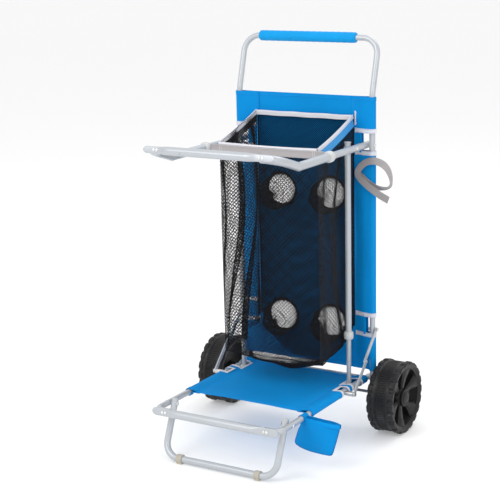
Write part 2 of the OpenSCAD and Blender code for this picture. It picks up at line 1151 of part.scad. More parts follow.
module strut_caps() {
    color("gainsboro")
        at_frame()
            both_sides()
                translate([strut_x, -strut_l, strut_top]) {
                    cylinder(d = tube_d, h = cap_t);
                    translate([0, 0, -plug_l])
                        cylinder(r = tube_r - tube_wall - slip, h = plug_l + slip);
                }
}

/* ---- folding braces ---- */

// A flat link with round ends and a bore at its first end, its inner face at x = at.
module link_at(from, turn, length, at, bore) {
    translate([at, from.x, from.y])
        rotate([turn, 0, 0])
            rotate([90, 0, 90])
                linear_extrude(brace_t)
                    difference() {
                        union() {
                            circle(d = brace_w);
                            translate([0, -brace_w / 2])
                                square([length, brace_w]);
                            translate([length, 0])
                                circle(d = brace_w);
                        }
                        circle(d = bore + 2 * slip);
                    }
}

module one_link(side, from, to, at, bore, rivet_from, rivet_to) {
    turn = atan2(to.y - from.y, to.x - from.x);
    at_frame()
        scale_x(side) {
            link_at(from, turn, norm(to - from), at, bore);
            translate([0, to.x, to.y])
                rod_x(rivet_from, rivet_to, bracket_d);
        }
}

module brace_upper(side) {
    one_link(side, brace_top, brace_mid, brace_in, pin_d, brace_in - 1, brace_in + brace_t);
}

module brace_lower(side) {
    outer = brace_in + brace_t + brace_step;
    one_link(side, brace_foot, brace_mid, outer, bracket_d, outer, outer + brace_t + rivet_head_t);
}

module brace_upper_left() {
    color("gainsboro")
        brace_upper(-1);
}

module brace_upper_right() {
    color("gainsboro")
        brace_upper(1);
}

module brace_lower_left() {
    color("gainsboro")
        brace_lower(-1);
}

module brace_lower_right() {
    color("gainsboro")
        brace_lower(1);
}

main_tube_left();
main_tube_right();
knee_joints();
handle_tube();
handle_grip();
main_tube_end_caps();
pivot_crossbar();
axle();
axle_spacers();
axle_nuts();
wheel_left();
wheel_right();
hub_cap_left();
hub_cap_right();
main_panel();
cup_upper_left();
cup_upper_right();
cup_lower_left();
cup_lower_right();
cargo_bag();
bag_front();
umbrella_strap();
arm_pivot_pins();
brace_pivot_pins();
platform_side_left();
platform_side_right();
platform_front_bar();
platform_rivets();
platform_fabric();
platform_end_caps();
strut_foot_pins();
brace_brackets();
leg_hinge_pins();
umbrella_pouch();
leg_tube();
leg_feet();
leg_end_caps();
arm_left();
arm_right();
arm_collars();
arm_end_caps();
upper_side_left();
upper_side_right();
upper_bend_joints();
upper_front_bar();
upper_rivets();
strut_top_pins();
bag_front_band();
strut_upper_left();
strut_upper_right();
strut_lower_left();
strut_lower_right();
strut_collars();
strut_caps();
brace_upper_left();
brace_upper_right();
brace_lower_left();
brace_lower_right();
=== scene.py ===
"""Looks of the folding beach cart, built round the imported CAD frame. Metres, +Z up, front at -Y."""

import math
import random

import bpy
import numpy as np
from mathutils import Matrix, Vector
from mathutils.geometry import delaunay_2d_cdt


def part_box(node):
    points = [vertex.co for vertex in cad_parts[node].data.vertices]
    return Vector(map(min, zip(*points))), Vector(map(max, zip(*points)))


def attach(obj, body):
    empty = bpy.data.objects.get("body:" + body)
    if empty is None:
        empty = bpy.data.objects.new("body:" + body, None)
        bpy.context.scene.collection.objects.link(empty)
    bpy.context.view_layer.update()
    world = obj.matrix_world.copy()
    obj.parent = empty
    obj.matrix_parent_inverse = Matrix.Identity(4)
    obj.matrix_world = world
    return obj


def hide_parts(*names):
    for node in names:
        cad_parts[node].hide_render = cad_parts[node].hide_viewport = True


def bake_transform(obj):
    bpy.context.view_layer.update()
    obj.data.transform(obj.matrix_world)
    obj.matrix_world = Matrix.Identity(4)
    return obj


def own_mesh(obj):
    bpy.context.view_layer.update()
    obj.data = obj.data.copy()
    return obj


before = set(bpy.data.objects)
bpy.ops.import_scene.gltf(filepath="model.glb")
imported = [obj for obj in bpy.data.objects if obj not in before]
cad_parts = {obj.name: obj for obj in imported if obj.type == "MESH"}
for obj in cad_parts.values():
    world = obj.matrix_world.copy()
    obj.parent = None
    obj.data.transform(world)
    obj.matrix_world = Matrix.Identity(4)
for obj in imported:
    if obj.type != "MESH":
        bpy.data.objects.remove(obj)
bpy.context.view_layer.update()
SEED = 7
random.seed(SEED)
rng = np.random.default_rng(SEED)


# ---------------------------------------------------------------- places

def middle(node):
    low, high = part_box(node)
    return (low + high) / 2


def size_of(node):
    low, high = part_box(node)
    return high - low


SIDES = ((-1, "left"), (1, "right"))
# the plane of the two uprights, which the pivot crossbar lies in
FRAME_Y = middle("pivot_crossbar").y
PLATFORM_Z = middle("pivot_crossbar").z
UPRIGHT_X = middle("main_tube_right").x
TUBE_R = size_of("main_tube_right").x / 2
ARM_X = middle("arm_right").x
UPPER_Z = middle("arm_right").z
BAR_R = size_of("platform_front_bar").z / 2
SIDE_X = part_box("platform_side_right")[1].x - TUBE_R


def at(x, y, z):
    """A point given with y measured from the plane of the uprights."""
    return Vector((x, FRAME_Y + y, z))


def ats(points):
    return [at(*p) for p in points]


# ---------------------------------------------------------------- materials

class Nodes:
    """A short way to write a material's node tree."""

    def __init__(self, name):
        self.material = bpy.data.materials.new(name)
        self.material.use_nodes = True
        self.tree = self.material.node_tree
        self.shader = self.tree.nodes["Principled BSDF"]
        self.coords = self.tree.nodes.new("ShaderNodeTexCoord").outputs["Object"]

    def add(self, kind, inputs=None, **settings):
        node = self.tree.nodes.new(kind)
        for key, value in settings.items():
            setattr(node, key, value)
        for key, value in (inputs or {}).items():
            if isinstance(value, bpy.types.NodeSocket):
                self.tree.links.new(value, node.inputs[key])
            else:
                node.inputs[key].default_value = value
        return node

    def noise(self, scale, detail=3.0, roughness=0.55, coords=None):
        return self.add(
            "ShaderNodeTexNoise",
            {"Vector": coords or self.coords, "Scale": scale, "Detail": detail, "Roughness": roughness},
        ).outputs["Fac"]

    def stretched(self, scale):
        return self.add("ShaderNodeMapping", {"Vector": self.coords, "Scale": scale}).outputs["Vector"]

    def math(self, operation, a, b=0.0):
        return self.add("ShaderNodeMath", {0: a, 1: b}, operation=operation).outputs[0]

    def remap(self, value, low, high, to_low=0.0, to_high=1.0):
        inputs = {"Value": value, "From Min": low, "From Max": high, "To Min": to_low, "To Max": to_high}
        return self.add("ShaderNodeMapRange", inputs).outputs[0]

    def mix(self, factor, a, b):
        node = self.add("ShaderNodeMix", {0: factor}, data_type="RGBA")
        for socket, value in ((node.inputs[6], a), (node.inputs[7], b)):
            if isinstance(value, bpy.types.NodeSocket):
                self.tree.links.new(value, socket)
            else:
                socket.default_value = (*value[:3], 1.0)
        return node.outputs[2]

    def colour(self, value):
        self.tree.links.new(value, self.shader.inputs["Base Color"])

    def rough(self, value):
        self.tree.links.new(value, self.shader.inputs["Roughness"])

    def bump(self, *layers):
        """Each layer is (height, distance in metres, strength)."""
        normal = None
        for height, distance, strength in layers:
            inputs = {"Height": height, "Distance": distance, "Strength": strength}
            if normal is not None:
                inputs["Normal"] = normal
            normal = self.add("ShaderNodeBump", inputs).outputs["Normal"]
        self.tree.links.new(normal, self.shader.inputs["Normal"])

    def set(self, **values):
        for key, value in values.items():
            self.shader.inputs[key.replace("_", " ")].default_value = value
        return self


def shade(rgb, by):
    return tuple(min(1.0, c * by) for c in rgb)


def paint(name, rgb, rough=0.34, metallic=0.0, coat=0.25):
    n = Nodes(name).set(Metallic=metallic, Coat_Weight=coat, Coat_Roughness=0.2)
    cloud = n.noise(9.0)
    speck = n.noise(420.0, 2.0)
    worn = n.remap(n.noise(38.0, 5.0, 0.7), 0.66, 0.74)
    base = n.mix(cloud, shade(rgb, 0.93), shade(rgb, 1.05))
    n.colour(n.mix(worn, base, shade(rgb, 0.8)))
    n.rough(n.remap(speck, 0.3, 0.7, rough - 0.05, rough + 0.1))
    n.bump((speck, 0.0002, 0.25))
    return n.material


def weave_height(n, pitch):
    """Over and under threads in all three directions, so that any face shows a weave."""
    parts = n.add("ShaderNodeSeparateXYZ", {"Vector": n.coords}).outputs
    turns = 2 * math.pi / pitch
    waves = [n.math("SINE", n.math("MULTIPLY", parts[i], turns)) for i in range(3)]
    flat = n.math("MULTIPLY", waves[0], waves[2])
    side = n.math("MULTIPLY", waves[1], n.math("ADD", waves[0], waves[2]))
    return n.math("ADD", flat, side)


def cloth(name, rgb, pitch=0.0016, rough=0.78, wrinkle=0.5, light=1.12, dark=0.86, shine=0.12):
    n = Nodes(name).set(Specular_IOR_Level=shine)
    weave = weave_height(n, pitch)
    folds = n.noise(5.5, 3.0, 0.5, n.stretched((1.0, 1.0, 0.45)))
    fine = n.noise(60.0, 4.0)
    # fold crests are painted lighter and fold hollows darker: painted shade of the wrinkles
    base = n.mix(n.remap(folds, 0.3, 0.7), shade(rgb, dark), shade(rgb, light))
    # raised threads are painted lighter and the gaps between them darker: painted shade of the weave
    threads = n.mix(n.remap(weave, -1.0, 1.0), shade(rgb, 0.88), shade(rgb, 1.06))
    mixed = n.mix(0.45, base, threads)
    n.colour(n.mix(n.remap(fine, 0.55, 0.8, 0.0, 0.35), mixed, shade(rgb, 0.9)))
    n.rough(n.remap(weave, -1.0, 1.0, rough - 0.08, rough + 0.08))
    n.bump((folds, 0.012, wrinkle), (weave, 0.0004, 0.35))
    return n.material


def webbing(name, rgb):
    n = Nodes(name).set(Sheen_Weight=0.2)
    weave = weave_height(n, 0.0026)
    fine = n.noise(180.0, 3.0)
    # raised threads are painted lighter and the gaps between them darker: painted shade of the weave
    n.colour(n.mix(n.remap(weave, -1.0, 1.0), shade(rgb, 0.78), shade(rgb, 1.12)))
    n.rough(n.remap(fine, 0.3, 0.7, 0.6, 0.82))
    n.bump((weave, 0.0006, 0.7), (fine, 0.0003, 0.3))
    return n.material


def plastic(name, rgb, rough=0.5, grain=900.0, coat=0.0, shine=0.5):
    n = Nodes(name).set(Coat_Weight=coat, Coat_Roughness=0.3, Specular_IOR_Level=shine)
    fine = n.noise(grain, 2.0)
    cloud = n.noise(14.0, 4.0)
    scuff = n.remap(n.noise(85.0, 6.0, 0.75), 0.62, 0.75)
    base = n.mix(cloud, shade(rgb, 0.85), shade(rgb, 1.2))
    n.colour(n.mix(scuff, base, tuple(min(1.0, c * 1.15 + 0.006) for c in rgb)))
    n.rough(n.remap(n.noise(48.0, 4.0), 0.3, 0.7, rough - 0.08, rough + 0.12))
    n.bump((fine, 0.0002, 0.4), (n.noise(30.0), 0.0006, 0.15))
    return n.material


def metal(name, rgb, rough=0.32):
    n = Nodes(name).set(Metallic=0.9)
    brushed = n.noise(220.0, 3.0, 0.6, n.stretched((0.15, 1.0, 1.0)))
    stain = n.remap(n.noise(30.0, 5.0), 0.55, 0.8)
    n.colour(n.mix(stain, rgb, shade(rgb, 0.7)))
    n.rough(n.remap(brushed, 0.3, 0.7, rough - 0.07, rough + 0.16))
    n.bump((brushed, 0.0002, 0.35))
    return n.material


def foam(name, rgb):
    n = Nodes(name).set(Specular_IOR_Level=0.2)
    cells = n.add("ShaderNodeTexVoronoi", {"Vector": n.coords, "Scale": 650.0}).outputs["Distance"]
    cloud = n.noise(22.0, 4.0)
    n.colour(n.mix(cloud, shade(rgb, 0.88), shade(rgb, 1.1)))
    n.rough(n.remap(cells, 0.0, 0.6, 0.86, 0.62))
    n.bump((cells, 0.0006, 0.45), (n.noise(70.0), 0.0012, 0.2))
    return n.material


def yarn(name, rgb, sheen=0.15, shine=0.5):
    n = Nodes(name).set(Sheen_Weight=sheen, Specular_IOR_Level=shine)
    twist = n.noise(900.0, 2.0)
    cloud = n.noise(20.0, 3.0)
    n.colour(n.mix(cloud, shade(rgb, 0.75), shade(rgb, 1.5)))
    n.rough(n.remap(twist, 0.3, 0.7, 0.5, 0.8))
    n.bump((twist, 0.0003, 0.5))
    return n.material


GREY_PAINT = paint("painted steel", (0.435, 0.460, 0.490), rough=0.32, metallic=0.25)
COLLAR = plastic("collar plastic", (0.50, 0.51, 0.51), rough=0.36, coat=0.2)
CAP = plastic("cap plastic", (0.42, 0.43, 0.43), rough=0.5)
FOOT = plastic("foot plastic", (0.40, 0.37, 0.31), rough=0.5)
WHEEL = plastic("wheel plastic", (0.0075, 0.0075, 0.0085), rough=0.45, grain=700.0, shine=0.32)
HUB = plastic("hub plastic", (0.005, 0.005, 0.0055), rough=0.5, shine=0.25)
ZINC = metal("zinc", (0.55, 0.55, 0.54), rough=0.4)
DARK_STEEL = metal("dark steel", (0.16, 0.16, 0.165), rough=0.38)
RIVET = metal("rivet", (0.74, 0.74, 0.74), rough=0.27)
BLUE = cloth("blue canvas", (0.0, 0.245, 0.625))
# a darker copy of the blue canvas, painted shade for the pocket and its loop under the platform
BLUE_SHADE = cloth("blue canvas shaded copy", (0.0, 0.225, 0.58), wrinkle=0.7)
WHITE_TAPE = webbing("white binding", (0.80, 0.80, 0.86))
GREY_TAPE = webbing("grey webbing", (0.40, 0.375, 0.385))
BLUE_TAPE = webbing("blue binding", (0.0, 0.33, 0.78))
BLACK_TAPE = webbing("black binding", (0.012, 0.012, 0.014))
BLUE_THREAD = yarn("blue thread", (0.0, 0.20, 0.62))
WHITE_THREAD = yarn("white thread", (0.68, 0.68, 0.72))
NET = yarn("black net", (0.0045, 0.0045, 0.006), 0.0, 0.25)
DENSE_NET = yarn("lining net", (0.002, 0.004, 0.012), 0.0, 0.2)
FOAM = foam("blue foam", (0.0, 0.285, 0.66))


# ---------------------------------------------------------------- meshes

def piece(name, verts, faces, material, body=None, slot=None, smooth=True, replaces=()):
    mesh = bpy.data.meshes.new(name)
    mesh.from_pydata([tuple(v) for v in verts], [], [tuple(f) for f in faces])
    mesh.validate()
    mesh.update()
    mesh.materials.append(material)
    if smooth:
        mesh.shade_smooth()
        mesh.set_sharp_from_angle(angle=math.radians(38))
    thing = bpy.data.objects.new(name, mesh)
    bpy.context.scene.collection.objects.link(thing)
    if body:
        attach(thing, body)
    if replaces:
        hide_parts(*replaces)
    return thing


class Shape:
    """Collects several closed shapes into one mesh."""

    def __init__(self):
        self.verts = []
        self.faces = []

    def add(self, verts, faces):
        start = len(self.verts)
        self.verts.extend(Vector(v) for v in verts)
        self.faces.extend(tuple(i + start for i in f) for f in faces)
        return self

    def piece(self, name, material, body=None, slot=None, smooth=True, replaces=()):
        return piece(name, self.verts, self.faces, material, body, slot, smooth, replaces)


def rounded_path(corners, radii, step=0.006):
    """Straight runs joined by arcs. radii has one entry for each inner corner."""
    corners = [Vector(c) for c in corners]
    path = [corners[0]]
    for i in range(1, len(corners) - 1):
        before = (corners[i] - corners[i - 1]).normalized()
        after = (corners[i + 1] - corners[i]).normalized()
        turn = before.angle(after)
        if turn < 1e-4:
            continue
        radius = radii[i - 1]
        trim = radius * math.tan(turn / 2)
        start = corners[i] - before * trim
        inward = (after - before * before.dot(after)).normalized()
        centre = start + inward * radius
        count = max(3, int(radius * turn / step))
        for k in range(count + 1):
            a = turn * k / count
            path.append(centre - inward * radius * math.cos(a) + before * radius * math.sin(a))
    path.append(corners[-1])
    dense = [path[0]]
    for a, b in zip(path, path[1:]):
        runs = max(1, int((b - a).length / 0.03))
        dense.extend(a.lerp(b, k / runs) for k in range(1, runs + 1))
    return dense


def tangent(path, i):
    """The direction of a path at its point i."""
    return (path[min(len(path) - 1, i + 1)] - path[max(0, i - 1)]).normalized()


def frames_along(path, up=None):
    """A tangent and two square directions at each point, turning as little as possible."""
    tangents = [tangent(path, i) for i in range(len(path))]
    side = up or Vector((0, 0, 1))
    if abs(side.normalized().dot(tangents[0])) > 0.95:
        side = Vector((0, 1, 0))
    out = []
    for t in tangents:
        side = (side - t * side.dot(t)).normalized()
        out.append((t, side, t.cross(side)))
    return out


def skin(rows, count):
    """The faces of a solid given as rows of count points each, closed at both ends."""
    faces = []
    for i in range(rows - 1):
        for k in range(count):
            n = (k + 1) % count
            faces.append((i * count + k, i * count + n, (i + 1) * count + n, (i + 1) * count + k))
    faces.append(tuple(range(count))[::-1])
    faces.append(tuple(range((rows - 1) * count, rows * count)))
    return faces


def turned(turns, count, flip):
    """The faces of a closed outline of count points, carried round a full circle in turns steps."""
    faces = []
    for k in range(turns):
        m = (k + 1) % turns
        for j in range(count):
            q = (j + 1) % count
            quad = (k * count + j, k * count + q, m * count + q, m * count + j)
            faces.append(quad[::-1] if flip else quad)
    return faces


def sweep(path, section, up=None):
    """section(i) gives the ring's points at point i of the path, as (side, other) pairs."""
    path = [Vector(p) for p in path]
    verts = []
    for i, (p, (_, side, other)) in enumerate(zip(path, frames_along(path, up))):
        verts.extend(p + side * a + other * b for a, b in section(i))
    return verts, skin(len(path), len(verts) // len(path))


def circle(r, sides=20):
    return [
        (r * math.cos(2 * math.pi * k / sides), r * math.sin(2 * math.pi * k / sides))
        for k in range(sides)
    ]


def tube(path, r, sides=20):
    return sweep(path, lambda i: circle(r, sides))


def lathe(profile, origin, axis, sides=32):
    """profile is (distance along the axis, radius) pairs, closed over at radius 0 or with end caps."""
    axis = Vector(axis).normalized()
    side = axis.orthogonal().normalized()
    other = axis.cross(side)
    origin = Vector(origin)
    verts = []
    for along, r in profile:
        for k in range(sides):
            a = 2 * math.pi * k / sides
            verts.append(origin + axis * along + (side * math.cos(a) + other * math.sin(a)) * max(r, 1e-5))
    return verts, skin(len(profile), sides)


def dome(base, r, height, steps=5):
    """Profile of a low dome that stands on base."""
    return [
        (base + height * math.sin(math.pi / 2 * k / steps), r * math.cos(math.pi / 2 * k / steps))
        for k in range(steps + 1)
    ]


def ribbon(path, width, thick, face, edge=0.0004):
    """A flat strap along a path. face gives, at each point, the direction its flat side looks in."""
    path = [Vector(p) for p in path]
    verts = []
    for i, p in enumerate(path):
        t = tangent(path, i)
        n = Vector(face(i, p) if callable(face) else face)
        n = (n - t * n.dot(t)).normalized()
        w = t.cross(n)
        h, q = width / 2, thick / 2
        ring = [(-h + edge, -q), (h - edge, -q), (h, -q + edge), (h, q - edge),
                (h - edge, q), (-h + edge, q), (-h, q - edge), (-h, -q + edge)]
        verts.extend(p + w * x + n * y for x, y in ring)
    return verts, skin(len(path), len(ring))


def smooth_path(points, per=8):
    """A Catmull-Rom curve through the points."""
    points = [Vector(p) for p in points]
    ext = [points[0] * 2 - points[1], *points, points[-1] * 2 - points[-2]]
    out = []
    for i in range(1, len(ext) - 2):
        p0, p1, p2, p3 = ext[i - 1:i + 3]
        for k in range(per):
            t = k / per
            out.append(
                0.5 * ((2 * p1) + (p2 - p0) * t + (2 * p0 - 5 * p1 + 4 * p2 - p3) * t * t
                       + (3 * p1 - p0 - 3 * p2 + p3) * t ** 3)
            )
    out.append(points[-1])
    return out


def stitches(path, face, pitch=0.0042, length=0.0028, r=0.00045):
    """A row of short raised threads on a surface that looks along face."""
    path = [Vector(p) for p in path]
    cum = [0.0]
    for a, b in zip(path, path[1:]):
        cum.append(cum[-1] + (b - a).length)
    out = Shape()

    def point(s):
        s = min(max(s, 0.0), cum[-1])
        for i in range(len(path) - 1):
            if s <= cum[i + 1]:
                return path[i].lerp(path[i + 1], (s - cum[i]) / max(cum[i + 1] - cum[i], 1e-9))
        return path[-1]

    s = pitch / 2
    face = Vector(face).normalized()
    while s + length < cum[-1]:
        a, b = point(s), point(s + length)
        t = (b - a).normalized()
        w = t.cross(face).normalized()
        mid = (a + b) / 2
        verts = [a, b]
        for q, up in ((a.lerp(b, 0.2), 0.8), (mid, 1.15), (a.lerp(b, 0.8), 0.8)):
            verts += [q + w * r, q + face * r * up, q - w * r, q - face * r * 0.6]
        faces = []
        for j in range(2):
            for k in range(4):
                n = (k + 1) % 4
                faces.append((2 + j * 4 + k, 2 + j * 4 + n, 6 + j * 4 + n, 6 + j * 4 + k))
        for k in range(4):
            n = (k + 1) % 4
            faces.append((0, 2 + n, 2 + k))
            faces.append((1, 10 + k, 10 + n))
        out.add(verts, faces)
        s += pitch
    return out.verts, out.faces


def inside(polygon, x, y):
    """Even-odd test for arrays of points."""
    hit = np.zeros(len(x), bool)
    px, py = np.array(polygon, float).T
    j = len(px) - 1
    for i in range(len(px)):
        if abs(py[j] - py[i]) > 1e-12:
            cross = (px[j] - px[i]) * (y - py[i]) / (py[j] - py[i]) + px[i]
            hit ^= ((py[i] > y) != (py[j] > y)) & (x < cross)
        j = i
    return hit


def cut_sheet(outline, holes, step):
    """A flat cut of cloth as triangles: the outline with its holes, filled with a grid of points."""
    verts, edges = [], []
    loops = [outline, *holes]
    for loop in loops:
        fine = []
        for a, b in zip(loop, [*loop[1:], loop[0]]):
            a, b = Vector(a), Vector(b)
            runs = max(1, round((b - a).length / step))
            fine.extend(a.lerp(b, k / runs) for k in range(runs))
        start = len(verts)
        verts.extend(fine)
        edges.extend((start + k, start + (k + 1) % len(fine)) for k in range(len(fine)))
    border = np.array([tuple(v) for v in verts])
    low, high = border.min(0), border.max(0)
    gx = np.arange(low[0] + step / 2, high[0], step)
    gy = np.arange(low[1] + step / 2, high[1], step)
    grid = np.array([(x, y) for x in gx for y in gy])
    keep = inside(outline, grid[:, 0], grid[:, 1])
    for hole in holes:
        keep &= ~inside(hole, grid[:, 0], grid[:, 1])
    grid = grid[keep]
    near = np.array([np.min(np.abs(border - g).sum(1)) for g in grid]) if len(grid) else []
    grid = [Vector(g) for g, d in zip(grid, near) if d > step * 0.45]
    out, _, faces, *_ = delaunay_2d_cdt([*verts, *grid], edges, [], 0, 1e-7)
    flat = np.array([tuple(v) for v in out])
    centres = np.array([flat[list(f)].mean(0) for f in faces])
    keep = inside(outline, centres[:, 0], centres[:, 1])
    for hole in holes:
        keep &= ~inside(hole, centres[:, 0], centres[:, 1])
    used = [f for f, k in zip(faces, keep) if k]
    index = sorted({i for f in used for i in f})
    new = {old: k for k, old in enumerate(index)}
    return flat[index], [tuple(new[i] for i in f) for f in used]


def thick_sheet(flat, faces, lay, thick):
    """Lays the flat cut in space with lay(u, v) and gives it two sides and an edge."""
    mid = np.array([tuple(lay(u, v)) for u, v in flat])
    tri = np.array([f[:3] for f in faces])
    flat_n = np.cross(mid[tri[:, 1]] - mid[tri[:, 0]], mid[tri[:, 2]] - mid[tri[:, 0]])
    normal = np.zeros_like(mid)
    for k in range(3):
        np.add.at(normal, tri[:, k], flat_n)
    normal /= np.maximum(np.linalg.norm(normal, axis=1), 1e-12)[:, None]
    count = len(mid)
    verts = np.concatenate([mid + normal * thick / 2, mid - normal * thick / 2])
    out = [tuple(f) for f in faces] + [tuple(i + count for i in f[::-1]) for f in faces]
    edges = {}
    for f in faces:
        for a, b in zip(f, [*f[1:], f[0]]):
            if (b, a) in edges:
                del edges[(b, a)]
            else:
                edges[(a, b)] = True
    out += [(b, a, a + count, b + count) for a, b in edges]
    return verts, out


def everywhere(u, v):
    """The keep of a net with no part left out."""
    return v > -1


def net(u_size, v_size, pitch, keep, lay, r, jitter=0.0):
    """A diamond net of thin three-sided strands, where keep(u, v) is true."""
    nu, nv = int(u_size / pitch), int(v_size / pitch)
    iu, iv = np.meshgrid(np.arange(2 * nu + 1), np.arange(2 * nv + 1), indexing="ij")
    on = (iu + iv) % 2 == 0
    ids = -np.ones(iu.shape, int)
    ids[on] = np.arange(on.sum())
    u = iu[on] * u_size / (2 * nu)
    v = iv[on] * v_size / (2 * nv)
    pairs = []
    for du, dv in ((1, 1), (1, -1)):
        a = ids[:-1, :-1] if dv > 0 else ids[:-1, 1:]
        b = ids[1:, 1:] if dv > 0 else ids[1:, :-1]
        good = (a >= 0) & (b >= 0)
        pairs.append(np.stack([a[good], b[good]], 1))
    pairs = np.concatenate(pairs)
    inner = (u > 0) & (u < u_size) & (v > 0) & (v < v_size)
    u = u + jitter * pitch * inner * (rng.random(len(u)) - 0.5)
    v = v + jitter * pitch * inner * (rng.random(len(v)) - 0.5)
    ok = keep(u, v)
    pairs = pairs[ok[pairs].all(1)]
    points = np.array([tuple(lay(a, b)) for a, b in zip(u, v)])
    return strands(points[pairs[:, 0]], points[pairs[:, 1]], r)


def strands(a, b, r):
    """Closed three-sided prisms from a to b."""
    along = b - a
    along = along / np.maximum(np.linalg.norm(along, axis=1), 1e-12)[:, None]
    ref = np.where(np.abs(along[:, 1:2]) > 0.9, [[1.0, 0, 0]], [[0, 1.0, 0]])
    side = np.cross(along, ref)
    side /= np.linalg.norm(side, axis=1)[:, None]
    other = np.cross(along, side)
    rings = []
    for end, push in ((a, -0.3), (b, 0.3)):
        for k in range(3):
            ang = 2 * math.pi * k / 3 + math.pi / 2
            rings.append(end + along * r * push + side * r * math.cos(ang) + other * r * math.sin(ang))
    verts = np.stack(rings, 1).reshape(-1, 3)
    base = np.arange(len(a))[:, None] * 6
    quads = [(0, 1, 4, 3), (1, 2, 5, 4), (2, 0, 3, 5)]
    faces = [tuple(row) for q in quads for row in (base + np.array(q)).tolist()]
    faces += [tuple(row) for q in ((2, 1, 0), (3, 4, 5)) for row in (base + np.array(q)).tolist()]
    return verts, faces


def repaint(*pairs):
    """Gives CAD nodes their material, from pairs of (material, node names)."""
    for material, names in pairs:
        for name in names:
            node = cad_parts[name]
            node.data.materials.clear()
            node.data.materials.append(material)


def step_up(t):
    t = min(1.0, max(0.0, t))
    return t * t * (3 - 2 * t)


def both(draw):
    """Runs draw(side, word) for the left (-1) and the right (1)."""
    for side, word in SIDES:
        draw(side, word)


# the fitted camera: sensor and focal length in mm, yaw, pitch and roll in degrees, and its place
SENSOR, LENS = 36.0, 99.73
CAMERA_TURN = (31.37, 13.27, -1.27)
CAMERA_PLACE = (1.8198, FRAME_Y - 3.285, 1.3722)


def cart_camera():
    data = bpy.data.cameras.new("camera")
    data.sensor_width = SENSOR
    data.lens = LENS
    thing = bpy.data.objects.new("camera", data)
    bpy.context.scene.collection.objects.link(thing)
    yaw, pitch, roll = (math.radians(a) for a in CAMERA_TURN)
    forward = Vector((-math.sin(yaw) * math.cos(pitch), math.cos(yaw) * math.cos(pitch), -math.sin(pitch)))
    right = Vector((math.cos(yaw), math.sin(yaw), 0.0))
    up = right.cross(forward)
    right, up = (
        right * math.cos(roll) + up * math.sin(roll),
        up * math.cos(roll) - right * math.sin(roll),
    )
    turn = Matrix((right, up, -forward)).transposed().to_4x4()
    thing.matrix_world = Matrix.Translation(CAMERA_PLACE) @ turn
    data.clip_end = 40.0
    bpy.context.scene.camera = thing


cart_camera()


# ---------------------------------------------------------------- painted tubes

KNEE_Z = 0.925
GRIP = middle("handle_grip")
HANDLE_BACK = GRIP.y - FRAME_Y
UPPER_BEND = (-0.370, UPPER_Z)
UPPER_FRONT = middle("upper_front_bar")
UPPER_FRONT_Y = UPPER_FRONT.y - FRAME_Y
# the way the bent front of the upper bar's sides points
RISE = Vector((0, UPPER_FRONT_Y - UPPER_BEND[0], UPPER_FRONT.z - UPPER_BEND[1])).normalized()
TAB_T = 0.006
ARM_R = 0.0092
# places across the pressed ends of a front bar, from its middle
BAR_RIVETS = (0.148, 0.157)


def frame_tube():
    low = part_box("main_tube_right")[0].z
    x, back, top = UPRIGHT_X, HANDLE_BACK, GRIP.z
    corners = ats([
        (-x, 0, low), (-x, 0, KNEE_Z), (-x, back, top), (x, back, top), (x, 0, KNEE_Z), (x, 0, low),
    ])
    path = rounded_path(corners, [0.085, 0.045, 0.045, 0.085])
    names = ("main_tube_left", "main_tube_right", "knee_joints", "handle_tube")
    piece("frame_tube", *tube(path, TUBE_R, 24), GREY_PAINT, "cart_frame", "frame_paint", replaces=names)


def upper_tubes():
    behind = -(TAB_T / 2 + BAR_R)
    y = UPPER_FRONT_Y + RISE.y * behind
    z = UPPER_FRONT.z + RISE.z * behind
    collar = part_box("arm_collars")[0].y - FRAME_Y

    def draw(side, word):
        x = side * ARM_X
        corners = ats([
            (x, collar + 0.018, UPPER_Z), (x, UPPER_BEND[0], UPPER_BEND[1]), (x, y, z), (side * 0.1445, y, z),
        ])
        path = rounded_path(corners, [0.07, 0.042], 0.003)
        shape = Shape().add(*tube(path, BAR_R, 24))
        shape.piece("upper_tube_" + word, GREY_PAINT, "upper_bar", "frame_paint",
                    replaces=("upper_side_" + word,))

    both(draw)
    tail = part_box("arm_right")[1].y - FRAME_Y
    for side, word in SIDES:
        path = ats([(side * ARM_X, tail, UPPER_Z), (side * ARM_X, collar + 0.010, UPPER_Z)])
        shape = Shape().add(*tube(path, ARM_R, 28))
        shape.piece("arm_tube_" + word, GREY_PAINT, "upper_bar", "frame_paint", replaces=("arm_" + word,))


def bar_section(x, end, wide):
    """Half thickness, half height and squareness of the front bar's section at x."""
    ax = abs(x)
    flat = step_up((ax - 0.112) / 0.034)
    a = BAR_R + (TAB_T / 2 - BAR_R) * flat
    b = BAR_R + (wide - BAR_R) * flat
    tip = max(0.0, (ax - (end - 0.011)) / 0.011)
    b *= math.sqrt(max(0.02, 1 - tip * tip))
    return a, b, 2 + 2.2 * flat


def bar_ring(a, b, power, sides=28):
    out = []
    for k in range(sides):
        t = 2 * math.pi * k / sides
        c, s = math.cos(t), math.sin(t)
        out.append((math.copysign(abs(c) ** (2 / power), c) * a, math.copysign(abs(s) ** (2 / power), s) * b))
    return out


